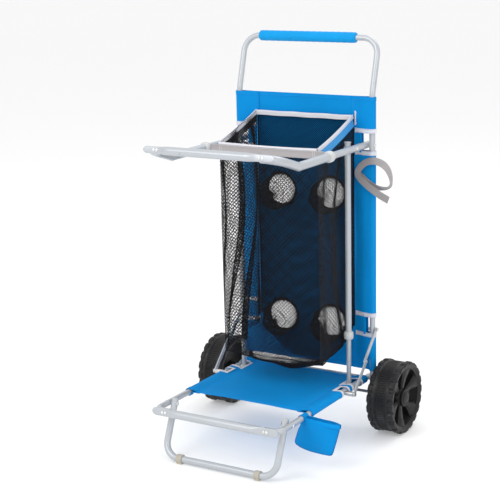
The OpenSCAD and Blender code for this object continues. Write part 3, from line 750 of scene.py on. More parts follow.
def front_bar(name, node, body, tilt, wide):
    """A round tube whose ends are pressed flat and riveted. tilt is the way its flat faces look."""
    mid = middle(node)
    end = size_of(node).x / 2
    stations = [-end + end * 2 * k / 60 for k in range(61)]
    extra = [s * (end - d) for s in (-1, 1) for d in (0.0005, 0.0015, 0.003, 0.0055, 0.008)]
    stations = sorted(set(stations + extra))
    path = [mid + Vector((x, 0, 0)) for x in stations]

    def section(i):
        return bar_ring(*bar_section(stations[i], end, wide))

    verts, faces = sweep(path, section, up=tilt)
    piece(name, verts, faces, GREY_PAINT, body, "frame_paint", replaces=(node,))
    heads = Shape()
    # how far the tube joined behind the tab stands out
    behind = 2 * (BAR_R if "upper" in node else TUBE_R)
    for side in (-1, 1):
        for x in BAR_RIVETS:
            spot = mid + Vector((side * x, 0, 0)) + tilt * (TAB_T / 2 - 0.0002)
            heads.add(*lathe([(0, 0.0042), *dome(0.0006, 0.0042, 0.0022)], spot, tilt, 20))
            back = mid + Vector((side * x, 0, 0)) - tilt * (TAB_T / 2 + behind - 0.001)
            heads.add(*lathe([(0, 0.004), *dome(0.0004, 0.004, 0.0016)], back, -tilt, 20))
    heads.piece(name + "_rivets", RIVET, body, "rivet_metal", replaces=(node.replace("front_bar", "rivets"),))


frame_tube()
upper_tubes()
front_bar("platform_bar", "platform_front_bar", "platform", Vector((0, -1, 0)), 0.0108)
front_bar("upper_bar_front", "upper_front_bar", "upper_bar", RISE, 0.0090)
repaint(
    (GREY_PAINT, ("platform_side_left", "platform_side_right", "leg_tube",
                  "strut_upper_left", "strut_upper_right", "strut_lower_left", "strut_lower_right",
                  "brace_upper_left", "brace_upper_right", "brace_lower_left", "brace_lower_right",
                  "upper_bend_joints")),
    (ZINC, ("pivot_crossbar", "brace_brackets", "axle_nuts")),
    (DARK_STEEL, ("axle",)),
    (FOOT, ("leg_feet",)),
)
for name in ("brace_upper_left", "brace_upper_right", "brace_lower_left", "brace_lower_right",
             "leg_feet", "brace_brackets", "axle_nuts"):
    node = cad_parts[name]
    weld = node.modifiers.new("weld", "WELD")
    weld.merge_threshold = 0.00002
    bevel = node.modifiers.new("bevel", "BEVEL")
    bevel.width = 0.0007
    bevel.segments = 2
    bevel.limit_method = "ANGLE"
    bevel.angle_limit = math.radians(40)


# ---------------------------------------------------------------- plastic and metal fittings

def grip():
    low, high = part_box("handle_grip")
    r = (high.z - low.z) / 2
    length = high.x - low.x
    profile = [(0, TUBE_R + 0.0004), (0, r - 0.0042), (0.0012, r - 0.0022), (0.0035, r - 0.0006)]
    count = 46
    for k in range(count + 1):
        s = 0.006 + (length - 0.012) * k / count
        profile.append((s, r - 0.00025 * (1 + math.sin(k * 2.1))))
    profile += [(length - 0.0035, r - 0.0006), (length - 0.0012, r - 0.0022), (length, r - 0.0042),
                (length, TUBE_R + 0.0004)]
    shape = Shape().add(*lathe(profile, (low.x, GRIP.y, GRIP.z), (1, 0, 0), 40))
    shape.piece("grip", FOAM, "cart_frame", "grip_foam", replaces=("handle_grip",))


def collars():
    length = 0.022
    shape = Shape()
    body = [(0, 0.0085), (0, 0.0122), (0.0012, 0.0138), (0.004, 0.0146), (0.0062, 0.0150), (0.0068, 0.0144),
            (0.0076, 0.0144), (0.0082, 0.0150), (0.0155, 0.0150), (0.0175, 0.0145), (0.0196, 0.0128),
            (0.0212, 0.0121), (length, 0.0116), (length, 0.0085)]
    for side in (-1, 1):
        shape.add(*lathe(body, (side * ARM_X, FRAME_Y - 0.200, UPPER_Z), (0, -1, 0), 36))
    shape.piece("arm_collar_pair", COLLAR, "upper_bar", "collar_plastic", replaces=("arm_collars",))

    low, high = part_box("strut_collars")
    x = high.x - 0.013
    y = (low.y + high.y) / 2
    ring = [(0, 0.0067), (0, 0.0102), (0.001, 0.0118), (0.004, 0.0125), (0.0055, 0.0130), (0.0062, 0.0124),
            (0.0070, 0.0124), (0.0077, 0.0130), (0.0165, 0.0130), (0.0190, 0.0122), (0.0212, 0.0104),
            (length, 0.0096), (length, 0.0067)]
    shape = Shape()
    for side in (-1, 1):
        shape.add(*lathe(ring, (side * x, y, 0.268), (0, 0, 1), 32))
        # the locking button in the side of the collar
        shape.add(*lathe([(0, 0.0042), (0.0006, 0.0042), *dome(0.0006, 0.0036, 0.0014)],
                         (side * x, y - 0.0127, 0.280), (0, -1, 0), 20))
    shape.piece("strut_collar_pair", COLLAR, "struts", "collar_plastic", replaces=("strut_collars",))

    low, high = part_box("strut_caps")
    shape = Shape()
    for side in (-1, 1):
        base = 0.8052
        top = high.z - base
        cap = [(0, 0.0070), (0, 0.0083), (0.0008, 0.0091), (0.0022, 0.0093),
               *dome(0.0026, 0.0091, top - 0.0026)]
        shape.add(*lathe(cap, (side * x, y, base), (0, 0, 1), 32))
    shape.piece("strut_cap_pair", COLLAR, "struts", "collar_plastic", replaces=("strut_caps",))


def tube_caps():
    def cap(shape, spot, axis, r, thick=0.003):
        profile = [(-0.002, r - 0.0013), (-0.0001, r - 0.0013), (0, r), (thick * 0.55, r),
                   *dome(thick * 0.55, r - 0.0004, thick * 0.45, 4)]
        shape.add(*lathe(profile, spot, axis, 28))

    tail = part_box("arm_right")[1].y
    for node, body, x, z in (
        ("platform_end_caps", "platform", SIDE_X, PLATFORM_Z),
        ("arm_end_caps", "upper_bar", ARM_X, UPPER_Z),
    ):
        shape = Shape()
        for side in (-1, 1):
            cap(shape, (side * x, tail, z), (0, 1, 0), TUBE_R)
        shape.piece(node.replace("end_caps", "tail_plugs"), CAP, body, "cap_plastic", replaces=(node,))
    shape = Shape()
    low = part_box("main_tube_right")[0].z
    for side in (-1, 1):
        cap(shape, (side * UPRIGHT_X, FRAME_Y, low), (0, 0, -1), TUBE_R)
    shape.piece("upright_plugs", CAP, "cart_frame", "cap_plastic", replaces=("main_tube_end_caps",))
    hinge = middle("leg_hinge_pins")
    foot = at(0, -0.479, 0.012)
    lean = Vector((0, hinge.y - foot.y, hinge.z - foot.z)).normalized()
    leg_r = 0.009
    shape = Shape()
    for side in (-1, 1):
        spot = Vector((side * 0.168, hinge.y, hinge.z)) + lean * 0.012
        cap(shape, spot, lean, leg_r)
    shape.piece("leg_plugs", CAP, "leg", "cap_plastic", replaces=("leg_end_caps",))


def pins():
    """Rivets through two tubes, each with a domed head on both ends."""
    def run(node, body, x_in, x_out, r=0.003, head=0.0055):
        mid = middle(node)
        shape = Shape()
        for side in (-1, 1):
            length = x_out - x_in
            profile = [*[(-q, w) for q, w in dome(0.0007, head, 0.0018)[::-1]], (-0.0001, head), (0, r),
                       (length, r), (length + 0.0001, head), *dome(length + 0.0007, head, 0.0018)]
            shape.add(*lathe(profile, (side * x_in, mid.y, mid.z), (side, 0, 0), 24))
        shape.piece(node.replace("_pins", "_rivet_set"), RIVET, body, "rivet_metal", replaces=(node,))

    run("arm_pivot_pins", "cart_frame", ARM_X - TUBE_R - 0.00005, UPRIGHT_X + TUBE_R)
    run("brace_pivot_pins", "cart_frame", UPRIGHT_X - TUBE_R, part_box("brace_pivot_pins")[1].x - 0.0025)
    run("strut_foot_pins", "platform", 0.161, SIDE_X + TUBE_R)
    run("leg_hinge_pins", "platform", 0.159, SIDE_X + TUBE_R)
    run("strut_top_pins", "upper_bar", 0.1595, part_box("strut_top_pins")[1].x - 0.0025)


def axle_parts():
    inner = UPRIGHT_X + TUBE_R + 0.0002
    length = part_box("axle_spacers")[1].x - inner
    profile = [(0, 0.0042), (0, 0.0076), (0.0008, 0.0080), (length * 0.3, 0.0080), (length * 0.36, 0.0072),
               (length * 0.64, 0.0072), (length * 0.7, 0.0080), (length - 0.0008, 0.0080), (length, 0.0076),
               (length, 0.0042)]
    shape = Shape()
    for side in (-1, 1):
        shape.add(*lathe(profile, (side * inner, FRAME_Y, 0.1), (side, 0, 0), 24))
    shape.piece("axle_spacer_pair", CAP, "cart_frame", "cap_plastic", replaces=("axle_spacers",))


LUGS = 20
RIDGES = 90
SPOKES = 6
SPOKE_BACK = 0.0080


def tread_r(x, angle, top):
    """The tyre's radius at x from its middle. Its lugs sit on both shoulders, half a step apart."""
    turns = angle * LUGS / (2 * math.pi)
    ax = abs(x)
    share = (turns + (0.5 if x < 0 else 0.0)) % 1.0
    near = abs(share - 0.5) * 2
    lug = step_up((0.86 - near) / 0.42)
    ridge = step_up(0.5 + 0.9 * math.cos(angle * RIDGES))
    if ax < 0.0125:
        r = top - 0.0052 + 0.0022 * ridge
    elif ax < 0.0145:
        r = top - 0.0030
    elif ax < 0.0155:
        r = top - 0.0042
    elif ax < 0.0245:
        r = top - 0.0030 + 0.0010 * lug * step_up((ax - 0.017) / 0.006)
    else:
        r = top - 0.0046 + 0.0046 * lug
    edge = max(0.0, ax - 0.0335) / 0.0055
    return r - 0.0042 * edge * edge


def wheel(side, word):
    low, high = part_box("wheel_" + word)
    mid = Vector(((low.x + high.x) / 2, FRAME_Y, (low.z + high.z) / 2))
    half = (high.x - low.x) / 2
    top = (high.z - low.z) / 2
    out = Vector((side, 0, 0))
    steps = RIDGES * 8
    xs = sorted({
        *(side_x * v for side_x in (-1, 1) for v in (
            0.0, 0.005, 0.0100, 0.0124, 0.0126, 0.0144, 0.0146, 0.0154, 0.0156, 0.0175, 0.0195, 0.0220,
            0.0244, 0.0246, 0.0275, 0.0305, 0.0335, 0.0355, 0.0372, 0.0383, half))
    })
    loop = [("tread", x) for x in xs]
    loop += [(half - 0.0006, 0.0880), (half - 0.0012, 0.0868), (half - 0.0030, 0.0855),
             (half - 0.0042, 0.0815), (half - 0.0055, 0.0800), (0.013, 0.0775), (0.0095, 0.0755),
             (0.0085, 0.0300), (0.0110, 0.0265), (0.0245, 0.0240), (0.0262, 0.0225),
             (0.0268, 0.0180), (0.0268, 0.0041), (-half + 0.0042, 0.0041), (-half + 0.0042, 0.0150),
             (-half + 0.0060, 0.0185), (-0.0085, 0.0230), (-0.0055, 0.0270), (-0.0050, 0.0755),
             (-0.0090, 0.0775), (-half + 0.0050, 0.0800),
             (-half + 0.0025, 0.0830), (-half + 0.0008, 0.0860)]
    verts = []
    for k in range(steps):
        angle = 2 * math.pi * k / steps
        c, s = math.cos(angle), math.sin(angle)
        for item in loop:
            if item[0] == "tread":
                # one lug's middle points straight down
                x, r = item[1], tread_r(item[1], angle + math.pi / 2 + math.pi / LUGS, top)
            else:
                x, r = item
            verts.append(mid + out * x + Vector((0, c, s)) * r)
    shape = Shape().add(verts, turned(steps, len(loop), side < 0))
    for i in range(SPOKES):
        spoke(shape, mid, out, math.radians(360 // SPOKES * i + 18))
    shape.piece("tyre_" + word, WHEEL, "wheel_" + word, "wheel_plastic", replaces=("wheel_" + word,))
    hub = Shape()
    start = 0.0262
    cap = [(start, 0.0175), (start, 0.0232), (start + 0.0012, 0.0246), (start + 0.0045, 0.0250),
           (start + 0.0072, 0.0240), (start + 0.0082, 0.0222), (start + 0.0080, 0.0196),
           (start + 0.0074, 0.0190),
           (start + 0.0076, 0.0182), *dome(start + 0.0086, 0.0172, 0.0024, 6)]
    hub.add(*lathe(cap, mid, out, 48))
    hub.piece("hub_cover_" + word, HUB, "wheel_" + word, "hub_cap_plastic", replaces=("hub_cap_" + word,))


def spoke(shape, mid, out, angle):
    """A blade that flares from the hub to the rim, with a raised ridge and sloping flanks."""
    radial = Vector((0, math.cos(angle), math.sin(angle)))
    across = out.cross(radial)
    rows = [
        # radius, half width, ridge height, edge height, ridge half width
        (0.0225, 0.0078, 0.0235, 0.0200, 0.0040),
        (0.0330, 0.0080, 0.0245, 0.0205, 0.0042),
        (0.0480, 0.0100, 0.0268, 0.0218, 0.0056),
        (0.0620, 0.0140, 0.0298, 0.0240, 0.0082),
        (0.0730, 0.0190, 0.0325, 0.0262, 0.0115),
        (0.0797, 0.0235, 0.0338, 0.0275, 0.0140),
    ]
    verts = []
    for r, w, ridge, edge, flat in rows:
        drop = math.sqrt(max(r * r - w * w, 0.0))
        drop_flat = math.sqrt(max(r * r - flat * flat, 0.0))
        section = (
            (-w, SPOKE_BACK, drop), (-w, edge, drop), (-flat, ridge, drop_flat),
            (flat, ridge, drop_flat), (w, edge, drop), (w, SPOKE_BACK, drop),
        )
        for a, h, d in section:
            verts.append(mid + radial * d + across * a + out * h)
    shape.add(verts, skin(len(rows), len(section)))


grip()
collars()
tube_caps()
pins()
axle_parts()
both(wheel)


# ---------------------------------------------------------------- the panel

PANEL_LOW, PANEL_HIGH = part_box("main_panel")
PANEL_Z0, PANEL_Z1 = PANEL_LOW.z, PANEL_HIGH.z
PANEL_Y = 0.004
SEAM_X = 0.144
# each notch's lower edge, upper edge and inner edge
PANEL_NOTCHES = ((0.7745, 0.8245, 0.176), (0.2715, 0.3185, 0.188))
CUP_X = middle("cup_upper_right").x
CUP_ROWS = (middle("cup_upper_right").z, middle("cup_lower_right").z)
CUP_HOLE_R = 0.0425
SLEEVE_R = TUBE_R + 0.0017
# sewing: a hem's tape and its place from the edge, the notches' tape and its place, and the
# stitches' distance from a hem's edge, from a tape's middle and from the sleeve's seam
HEM_W, HEM_MIDDLE, HEM_SEAM = 0.0105, 0.0055, 0.0085
NOTCH_W, NOTCH_MIDDLE, NOTCH_STITCH = 0.0118, 0.0048, 0.0042
SEAM_ROWS = (0.0022, 0.0062)
# pitch, length and radius of the finest stitches
FINE_STITCH = (0.0032, 0.0022, 0.00035)
ARC_STRETCH = 3.0


class Profile:
    """A line in a plane, found by a length that is stretched where it bends sharply."""

    def __init__(self, points, stretch):
        self.points = np.array(points, float)
        gaps = np.linalg.norm(np.diff(self.points, axis=0), axis=1) * np.array(stretch)
        self.at = np.concatenate([[0.0], np.cumsum(gaps)])
        self.length = self.at[-1]

    def __call__(self, s):
        return np.interp(s, self.at, self.points[:, 0]), np.interp(s, self.at, self.points[:, 1])

    def find(self, value, part=slice(None)):
        """The length at which the first coordinate has this value, in one part of the line."""
        x, s = self.points[part, 0], self.at[part]
        order = np.argsort(x)
        return float(np.interp(value, x[order], s[order]))


def sleeve_profile(centre_x, flat_y, r, seam_x, seam_y):
    """From the middle out over one tube, round it and back to the seam: (x, y) points and stretch."""
    points = [(0.0, flat_y), (0.06, flat_y), (0.12, flat_y), (seam_x + 0.012, flat_y)]
    steps = 14
    points.append((centre_x - 0.022, flat_y + (r - flat_y) * 0.55))
    for k in range(steps + 1):
        a = math.pi / 2 - math.pi * k / steps
        points.append((centre_x + r * math.cos(a), r * math.sin(a)))
    points.append((centre_x - 0.022, -r * 0.80))
    points.append((seam_x + 0.010, seam_y - 0.0006))
    points.append((seam_x, seam_y))
    stretch = [1.0] * (len(points) - 1)
    for k in range(5, 5 + steps):
        stretch[k] = ARC_STRETCH
    return points, stretch


def mirrored(points, stretch):
    full = [(-x, y) for x, y in points[::-1]] + points[1:]
    return Profile(full, stretch[::-1] + stretch)


def along_cloth(profile, point, normal, s0, s1, place, out, count):
    """(point, normal) pairs across a sleeved cloth at one place, lifted off it by out."""
    line = []
    for k in range(count + 1):
        s = s0 + (s1 - s0) * k / count
        a, b = point(max(0, s - 0.002), place), point(min(profile.length, s + 0.002), place)
        n = normal((b - a).normalized()).normalized()
        line.append((point(s, place) + n * out, n))
    return line


def add_band(shape, line, width, thick=0.0009):
    """Adds a ribbon along the (point, normal) pairs of a line."""
    normals = [n for _, n in line]
    shape.add(*ribbon([p for p, _ in line], width, thick, lambda i, p: normals[i]))


def waves(a, b, rows):
    """A sum of sine waves; each row is (turns along a, turns along b, phase, height)."""
    return sum(h * math.sin(2 * math.pi * (m * a + n * b) + p) for m, n, p, h in rows)


PANEL = mirrored(*sleeve_profile(UPRIGHT_X, PANEL_Y, SLEEVE_R, SEAM_X, PANEL_Y - 0.0016))
PANEL_HALF = len(PANEL.points) // 2
PANEL_REAR = slice(PANEL_HALF, PANEL_HALF + 6)
PANEL_FRONT = slice(len(PANEL.points) - 4, len(PANEL.points))
PANEL_MID = PANEL.at[PANEL_HALF]


# the front flap of the sleeve lies flat below this height, to leave room for the platform's tubes
FLAP_TUCK_Z = 0.212


def panel_point(s, z):
    x, y = PANEL(s)
    if y < PANEL_Y - 0.0010 and abs(x) < UPRIGHT_X - 0.004:
        near = step_up((UPRIGHT_X - 0.004 - abs(x)) / 0.008)
        y += (PANEL_Y - 0.0017 - y) * step_up((FLAP_TUCK_Z - z) / 0.022) * near
    flat = max(0.0, 1 - abs(x) / 0.19)
    calm = min(1.0, (z - PANEL_Z0) / 0.03, (PANEL_Z1 - z) / 0.03)
    ripple = waves(x, z, ((2.1, 1.3, 0.3, 0.0010), (5.3, 0.7, 1.1, 0.0006), (1.2, 3.7, 2.0, 0.0007)))
    strip = 0.0009 * math.sin(z * 26 + 6 * x) * min(1.0, max(0.0, abs(x) - 0.15) / 0.02)
    if abs(x) > UPRIGHT_X - 0.012:
        strip = 0.0
    return at(x, y + ripple * flat * calm + strip * calm, z)


def ring_points(cx, cz, r, count=40):
    return [(cx + r * math.cos(2 * math.pi * k / count), cz + r * math.sin(2 * math.pi * k / count))
            for k in range(count)]


def panel():
    holes = []
    for z0, z1, inner in PANEL_NOTCHES:
        rear = PANEL.find(inner, PANEL_REAR)
        front = PANEL.find(inner, PANEL_FRONT)
        holes.append([(rear, z0), (front, z0), (front, z1), (rear, z1)])
        left = [(PANEL.length - front, z0), (PANEL.length - rear, z0), (PANEL.length - rear, z1),
                (PANEL.length - front, z1)]
        holes.append(left)
    for z in CUP_ROWS:
        for side in (-1, 1):
            holes.append(ring_points(PANEL_MID + side * CUP_X, z, CUP_HOLE_R))
    outline = [(0, PANEL_Z0), (PANEL.length, PANEL_Z0), (PANEL.length, PANEL_Z1), (0, PANEL_Z1)]
    flat, faces = cut_sheet(outline, holes, 0.0105)
    thing = piece("back_panel", *thick_sheet(flat, faces, panel_point, 0.0010), BLUE, "cart_frame",
                  "blue_fabric", replaces=("main_panel",))


def along_panel(s0, s1, z, out=0.0, count=60):
    """A line across the panel at one height, lifted off the cloth by out."""
    return along_cloth(PANEL, panel_point, lambda t: Vector((-t.y, t.x, 0)), s0, s1, z, out, count)


def band_on_panel(shape, s0, s1, z, width, out, thick=0.0009, count=60):
    add_band(shape, along_panel(s0, s1, z, out, count), width, thick)


def panel_bindings():
    """White tape round the notches, and the hems and seams."""
    white, thread, hem = Shape(), Shape(), Shape()
    total = PANEL.length
    tack = PANEL.find(0.1535, PANEL_FRONT)
    for z0, z1, inner in PANEL_NOTCHES:
        rear = PANEL.find(inner, PANEL_REAR)
        for z, way in ((z0, -1), (z1, 1)):
            zc = z + way * NOTCH_MIDDLE
            for a, b in ((rear - 0.004, tack), (total - tack, total - rear + 0.004)):
                # the tape goes round the sleeve, on its outside
                band_on_panel(white, a, b, zc, NOTCH_W, 0.0011, count=70)
                for dz in (-NOTCH_STITCH, NOTCH_STITCH):
                    line = [p for p, n in along_panel(a, b, zc + dz, 0.0018, 70) if n.y < -0.4]
                    thread.add(*stitches(line, (0, -1, 0), *FINE_STITCH))
            for side in (-1, 1):
                for x in (0.1550, 0.1585):
                    s = PANEL.find(x, PANEL_FRONT)
                    spot = panel_point(s if side > 0 else total - s, zc) + Vector((0, -0.0017, 0))
                    up = Vector((0, 0, 0.0066))
                    white.add(*ribbon([spot - up, spot + up], 0.0016, 0.0012, (0, -1, 0)))
        # the upright edges are bound in white behind and hemmed in blue in front
        for part, edge in ((PANEL_REAR, white), (PANEL_FRONT, hem)):
            for flip in (False, True):
                s = PANEL.find(inner - 0.0034, part)
                s = total - s if flip else s
                line = [along_panel(s, s, z, 0.0011, 1)[0] for z in np.linspace(z0 - 0.004, z1 + 0.004, 7)]
                normal = line[0][1]
                edge.add(*ribbon([p for p, _ in line], 0.0078, 0.0009, normal))
    white.piece("notch_binding", WHITE_TAPE, "cart_frame", "webbing")
    mid = PANEL_MID
    for z, way in ((PANEL_Z1, -1), (PANEL_Z0, 1)):
        hem_z, seam_z = z + way * HEM_MIDDLE, z + way * HEM_SEAM
        band_on_panel(hem, 0.004, total - 0.004, hem_z, HEM_W, 0.0008, 0.0008, 150)
        band_on_panel(hem, mid - 0.14, mid + 0.14, hem_z, HEM_W, -0.0008, 0.0008, 60)
        sleeves = [p for p, n in along_panel(0.004, total - 0.004, seam_z, 0.0014, 150) if n.y < -0.5]
        for side in (-1, 1):
            thread.add(*stitches([p for p in sleeves if p.x * side > 0], (0, -1, 0)))
        for out, look in ((-0.0013, -1), (0.0013, 1)):
            flat_part = [p for p, n in along_panel(mid - 0.14, mid + 0.14, seam_z, out, 90)]
            thread.add(*stitches(flat_part, (0, look, 0)))
    hem.piece("panel_hems", BLUE, "cart_frame", "blue_fabric")
    upper, lower = PANEL_NOTCHES
    spans = [(PANEL_Z0 + 0.004, lower[0] - 0.012), (lower[1] + 0.012, upper[0] - 0.012),
             (upper[1] + 0.012, PANEL_Z1 - 0.004)]
    for side in (-1, 1):
        for x in (SEAM_X + row for row in SEAM_ROWS):
            for z0, z1 in spans:
                n = max(2, int((z1 - z0) / 0.02))
                for y, look in ((PANEL_Y - 0.0026, -1), (PANEL_Y + 0.0006, 1)):
                    line = [at(side * x, y, z0 + (z1 - z0) * k / n) for k in range(n + 1)]
                    thread.add(*stitches(line, (0, look, 0)))
    thread.piece("panel_stitching", BLUE_THREAD, "cart_frame", "blue_fabric")


panel()
panel_bindings()


# ---------------------------------------------------------------- cup holders

CUP_DEPTH = 0.059
CUP_R = 0.044
CUP_PITCH = 0.0086
RIM_STEPS = 56
CUP_LINE = Profile(
    [(0.0, 0.0440), (0.012, 0.0452), (0.026, 0.0455), (0.040, 0.0440), (0.050, 0.0395), (0.0565, 0.0300),
     (CUP_DEPTH - 0.0005, 0.0160), (CUP_DEPTH, 0.0030)], [1.0] * 7)


def cup_point(cx, cz, turn, s):
    depth, r = CUP_LINE(s)
    share = depth / CUP_DEPTH
    sag = 0.010 * share * share
    pleat = 1 + 0.035 * share * math.sin(6 * turn + cx * 90)
    drop = 0.004 * share * max(0.0, -math.sin(turn))
    z = cz - sag + r * pleat * math.sin(turn) - drop
    return at(cx + r * pleat * math.cos(turn), PANEL_Y - 0.002 - depth, z)


def cup(name, cx, cz):
    around = 2 * math.pi * CUP_R

    def lay(u, v):
        return cup_point(cx, cz, u / CUP_R, v)

    shape = Shape().add(*net(around, CUP_LINE.length - 0.002, CUP_PITCH, everywhere, lay, 0.0009))
    # the cords round the rim, round the side and at the bottom
    for s, r in ((0.0, 0.0009), (CUP_LINE.length * 0.62, 0.0011), (CUP_LINE.length - 0.004, 0.0008)):
        ring = [cup_point(cx, cz, 2 * math.pi * k / 48, s) for k in range(49)]
        shape.add(*tube(ring, r, 6))
    knot = cup_point(cx, cz, 0.0, CUP_LINE.length)
    knot_profile = [(-0.0008, 0.0002), (0, 0.0050), (0.0010, 0.0052), (0.0022, 0.0002)]
    shape.add(*lathe(knot_profile, knot, (0, -1, 0), 16))
    thing = shape.piece(name + "_mesh", NET, slot="black_net", smooth=False, replaces=(name,))
    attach(thing, "cart_frame")
    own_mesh(thing)


def cup_rims():
    """Black tape sewn round each hole, on both faces of the panel, with its stitches."""
    tape, thread = Shape(), Shape()
    for cz in CUP_ROWS:
        for side in (-1, 1):
            cx = side * CUP_X
            for way, y in ((-1, PANEL_Y - 0.0009), (1, PANEL_Y + 0.0009)):
                r0, r1 = CUP_HOLE_R - 0.0012, CUP_HOLE_R + 0.0072
                profile = [(0, r0), (0.0010, r0 + 0.0006), (0.0014, r0 + 0.003),
                           (0.0012, r1 - 0.0015), (0.0004, r1)]
                verts = []
                for k in range(RIM_STEPS):
                    a = 2 * math.pi * k / RIM_STEPS
                    for d, r in profile:
                        verts.append(at(cx + r * math.cos(a), y + way * d, cz + r * math.sin(a)))
                tape.add(verts, turned(RIM_STEPS, len(profile), way < 0))
                for r in (CUP_HOLE_R + 0.0012, CUP_HOLE_R + 0.0056):
                    ring = []
                    for k in range(81):
                        a = 2 * math.pi * k / 80
                        ring.append(at(cx + r * math.cos(a), y + way * 0.0013, cz + r * math.sin(a)))
                    thread.add(*stitches(ring, (0, way, 0), 0.0036, 0.0024, 0.00035))
    tape.piece("cup_rim_tape", BLACK_TAPE, "cart_frame", "black_net")
    thread.piece("cup_rim_stitching", yarn("black thread", (0.02, 0.02, 0.025)), "cart_frame", "black_net")


for cup_node in ("cup_upper_left", "cup_upper_right", "cup_lower_left", "cup_lower_right"):
    cup_mid = middle(cup_node)
    cup(cup_node, cup_mid.x, cup_mid.z)
cup_rims()


# ---------------------------------------------------------------- cargo bag

BAG_X = size_of("cargo_bag").x / 2 - 0.002
BAG_TOP_REAR = (-0.006, 0.869)
BAG_TOP_FRONT = (-0.2035, 0.806)
BAND_LOW, BAND_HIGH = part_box("bag_front_band")
FRONT_BOTTOM = 0.222
NET_PITCH = 0.0102
NET_R = 0.00105
# the loose side nets: their cut, front to back and top to bottom
SIDE_DEPTH, SIDE_DROP = 0.27, 0.62
# how far the bag's rear lower corners are drawn up above the middle of its rear edge
CORNER_RISE = 0.116


def corner_rise(x):
    return CORNER_RISE * abs(x / BAG_X) ** 3


def front_wall(x, z):
    """y of the front wall, which bellies out between its corners."""
    share = (BAG_TOP_FRONT[1] - z) / (BAG_TOP_FRONT[1] - FRONT_BOTTOM)
    line = BAG_TOP_FRONT[0] + 0.012 * share + 0.010 * step_up((share - 0.75) / 0.3)
    belly = 0.010 * math.sin(math.pi * min(1.0, share)) * math.cos(math.pi * x / (2 * BAG_X))
    ripple = 0.0022 * share * waves(x, z, ((7.0, 1.5, 0.0, 1.0), (3.0, 2.2, 1.0, 0.8)))
    return line - belly - ripple


def bag_front():
    height = BAG_TOP_FRONT[1] - FRONT_BOTTOM

    def lay(u, v):
        z = BAG_TOP_FRONT[1] - v
        share = v / height
        x = (u - BAG_X) * (1 + 0.02 * math.sin(math.pi * share) - 0.01 * math.sin(9 * share))
        return at(x, front_wall(x, z), z)

    shape = Shape().add(*net(2 * BAG_X, height, NET_PITCH, everywhere, lay, NET_R, jitter=0.12))
    thing = shape.piece("bag_front_net", NET, "bag_front", "black_net", smooth=False, replaces=("bag_front",))


def bag_bottom():
    """The net that curves under, from the front wall back to the foot of the panel."""
    line = Profile([(-0.183, FRONT_BOTTOM), (-0.176, 0.209), (-0.160, 0.196), (-0.135, 0.185),
                    (-0.105, 0.178), (-0.070, 0.173), (-0.035, 0.170), (-0.006, 0.170)], [1.0] * 7)

    def lay(u, v):
        x = u - BAG_X
        y, z = line(v)
        rearward = step_up((y + 0.170) / 0.165)
        rise = corner_rise(x) * (0.35 + 0.65 * rearward) * min(1.0, v / 0.05)
        if v < 0.02:
            y = y + (front_wall(x, FRONT_BOTTOM) - y) * (1 - v / 0.02)
        lumps = 0.0025 * waves(x, y, ((6, 3, 0.2, 1.0), (11, 5, 1.2, 0.6))) * min(1.0, v / 0.03)
        return at(x, y, z + rise + lumps)

    return Shape().add(*net(2 * BAG_X, line.length, NET_PITCH, everywhere, lay, NET_R, jitter=0.15))


def side_wall(shape, side):
    """A loose gusset: the net is wider than the gap it closes, so it stands in soft vertical folds."""
    depth = -BAG_TOP_FRONT[0]
    top_rear, top_front = BAG_TOP_REAR[1], BAG_TOP_FRONT[1]

    def lay(u, v):
        share = u / SIDE_DEPTH
        lean = min(1.0, v / 0.09)
        hang = math.sin(math.pi * share)
        turn = 2 * math.pi * (2.3 * share + 0.55 * math.sin(6.5 * v + (0.4 if side < 0 else 2.6)))
        loose = 1.0 if side < 0 else 0.4
        fold = loose * math.sin(turn)
        back = 0.026 * loose * math.sin(turn + 1.9) * hang
        y = -0.004 - (depth - 0.008) * share + back * lean
        top = top_rear + (top_front - top_rear) * share
        low = 0.232 - 0.008 * hang + 0.054 * (1 - share) ** 2
        z = top - (top - low) * (v / SIDE_DROP) + 0.004 * lean * fold * hang
        waist = math.sin(math.pi * min(1.0, v / SIDE_DROP))
        bulge = 0.0030 * math.sin(13 * v + (1.0 if side < 0 else 3.0)) * waist
        x = BAG_X + lean * (-0.0030 + 0.0090 * fold) * hang + 0.0015 * waist + bulge
        if share > 0.93:
            x = BAG_X + (x - BAG_X) * (1 - share) / 0.07
        return at(side * x, y, z)

    # the right net is drawn with thinner strands; the left net is real, but its strands are drawn thicker to
    # darken the panel seen through it, as painted shade
    r = 0.00120 if side < 0 else 0.00085
    shape.add(*net(SIDE_DEPTH, SIDE_DROP, NET_PITCH, everywhere, lay, r, jitter=0.15))
    return lay


def bag_body():
    for side, word in SIDES:
        shape = Shape()
        lay = side_wall(shape, side)
        # the seam cords down the front and rear edges
        for u in (0.003, 0.267):
            shape.add(*tube([lay(u, SIDE_DROP * k / 40) for k in range(41)], 0.0008, 6))
        thing = shape.piece("bag_side_net_" + word, NET, slot="black_net", smooth=False)
        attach(thing, "cart_frame")
        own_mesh(thing)
    shape = bag_bottom()
    rim = []
    for k in range(41):
        x = BAG_X * (k / 20 - 1)
        rim.append(at(x, front_wall(x, FRONT_BOTTOM), FRONT_BOTTOM))
    shape.add(*tube(rim, 0.0012, 6))
    thing = shape.piece("bag_bottom_net", NET, slot="black_net", smooth=False, replaces=("cargo_bag",))
    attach(thing, "cart_frame")
    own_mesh(thing)


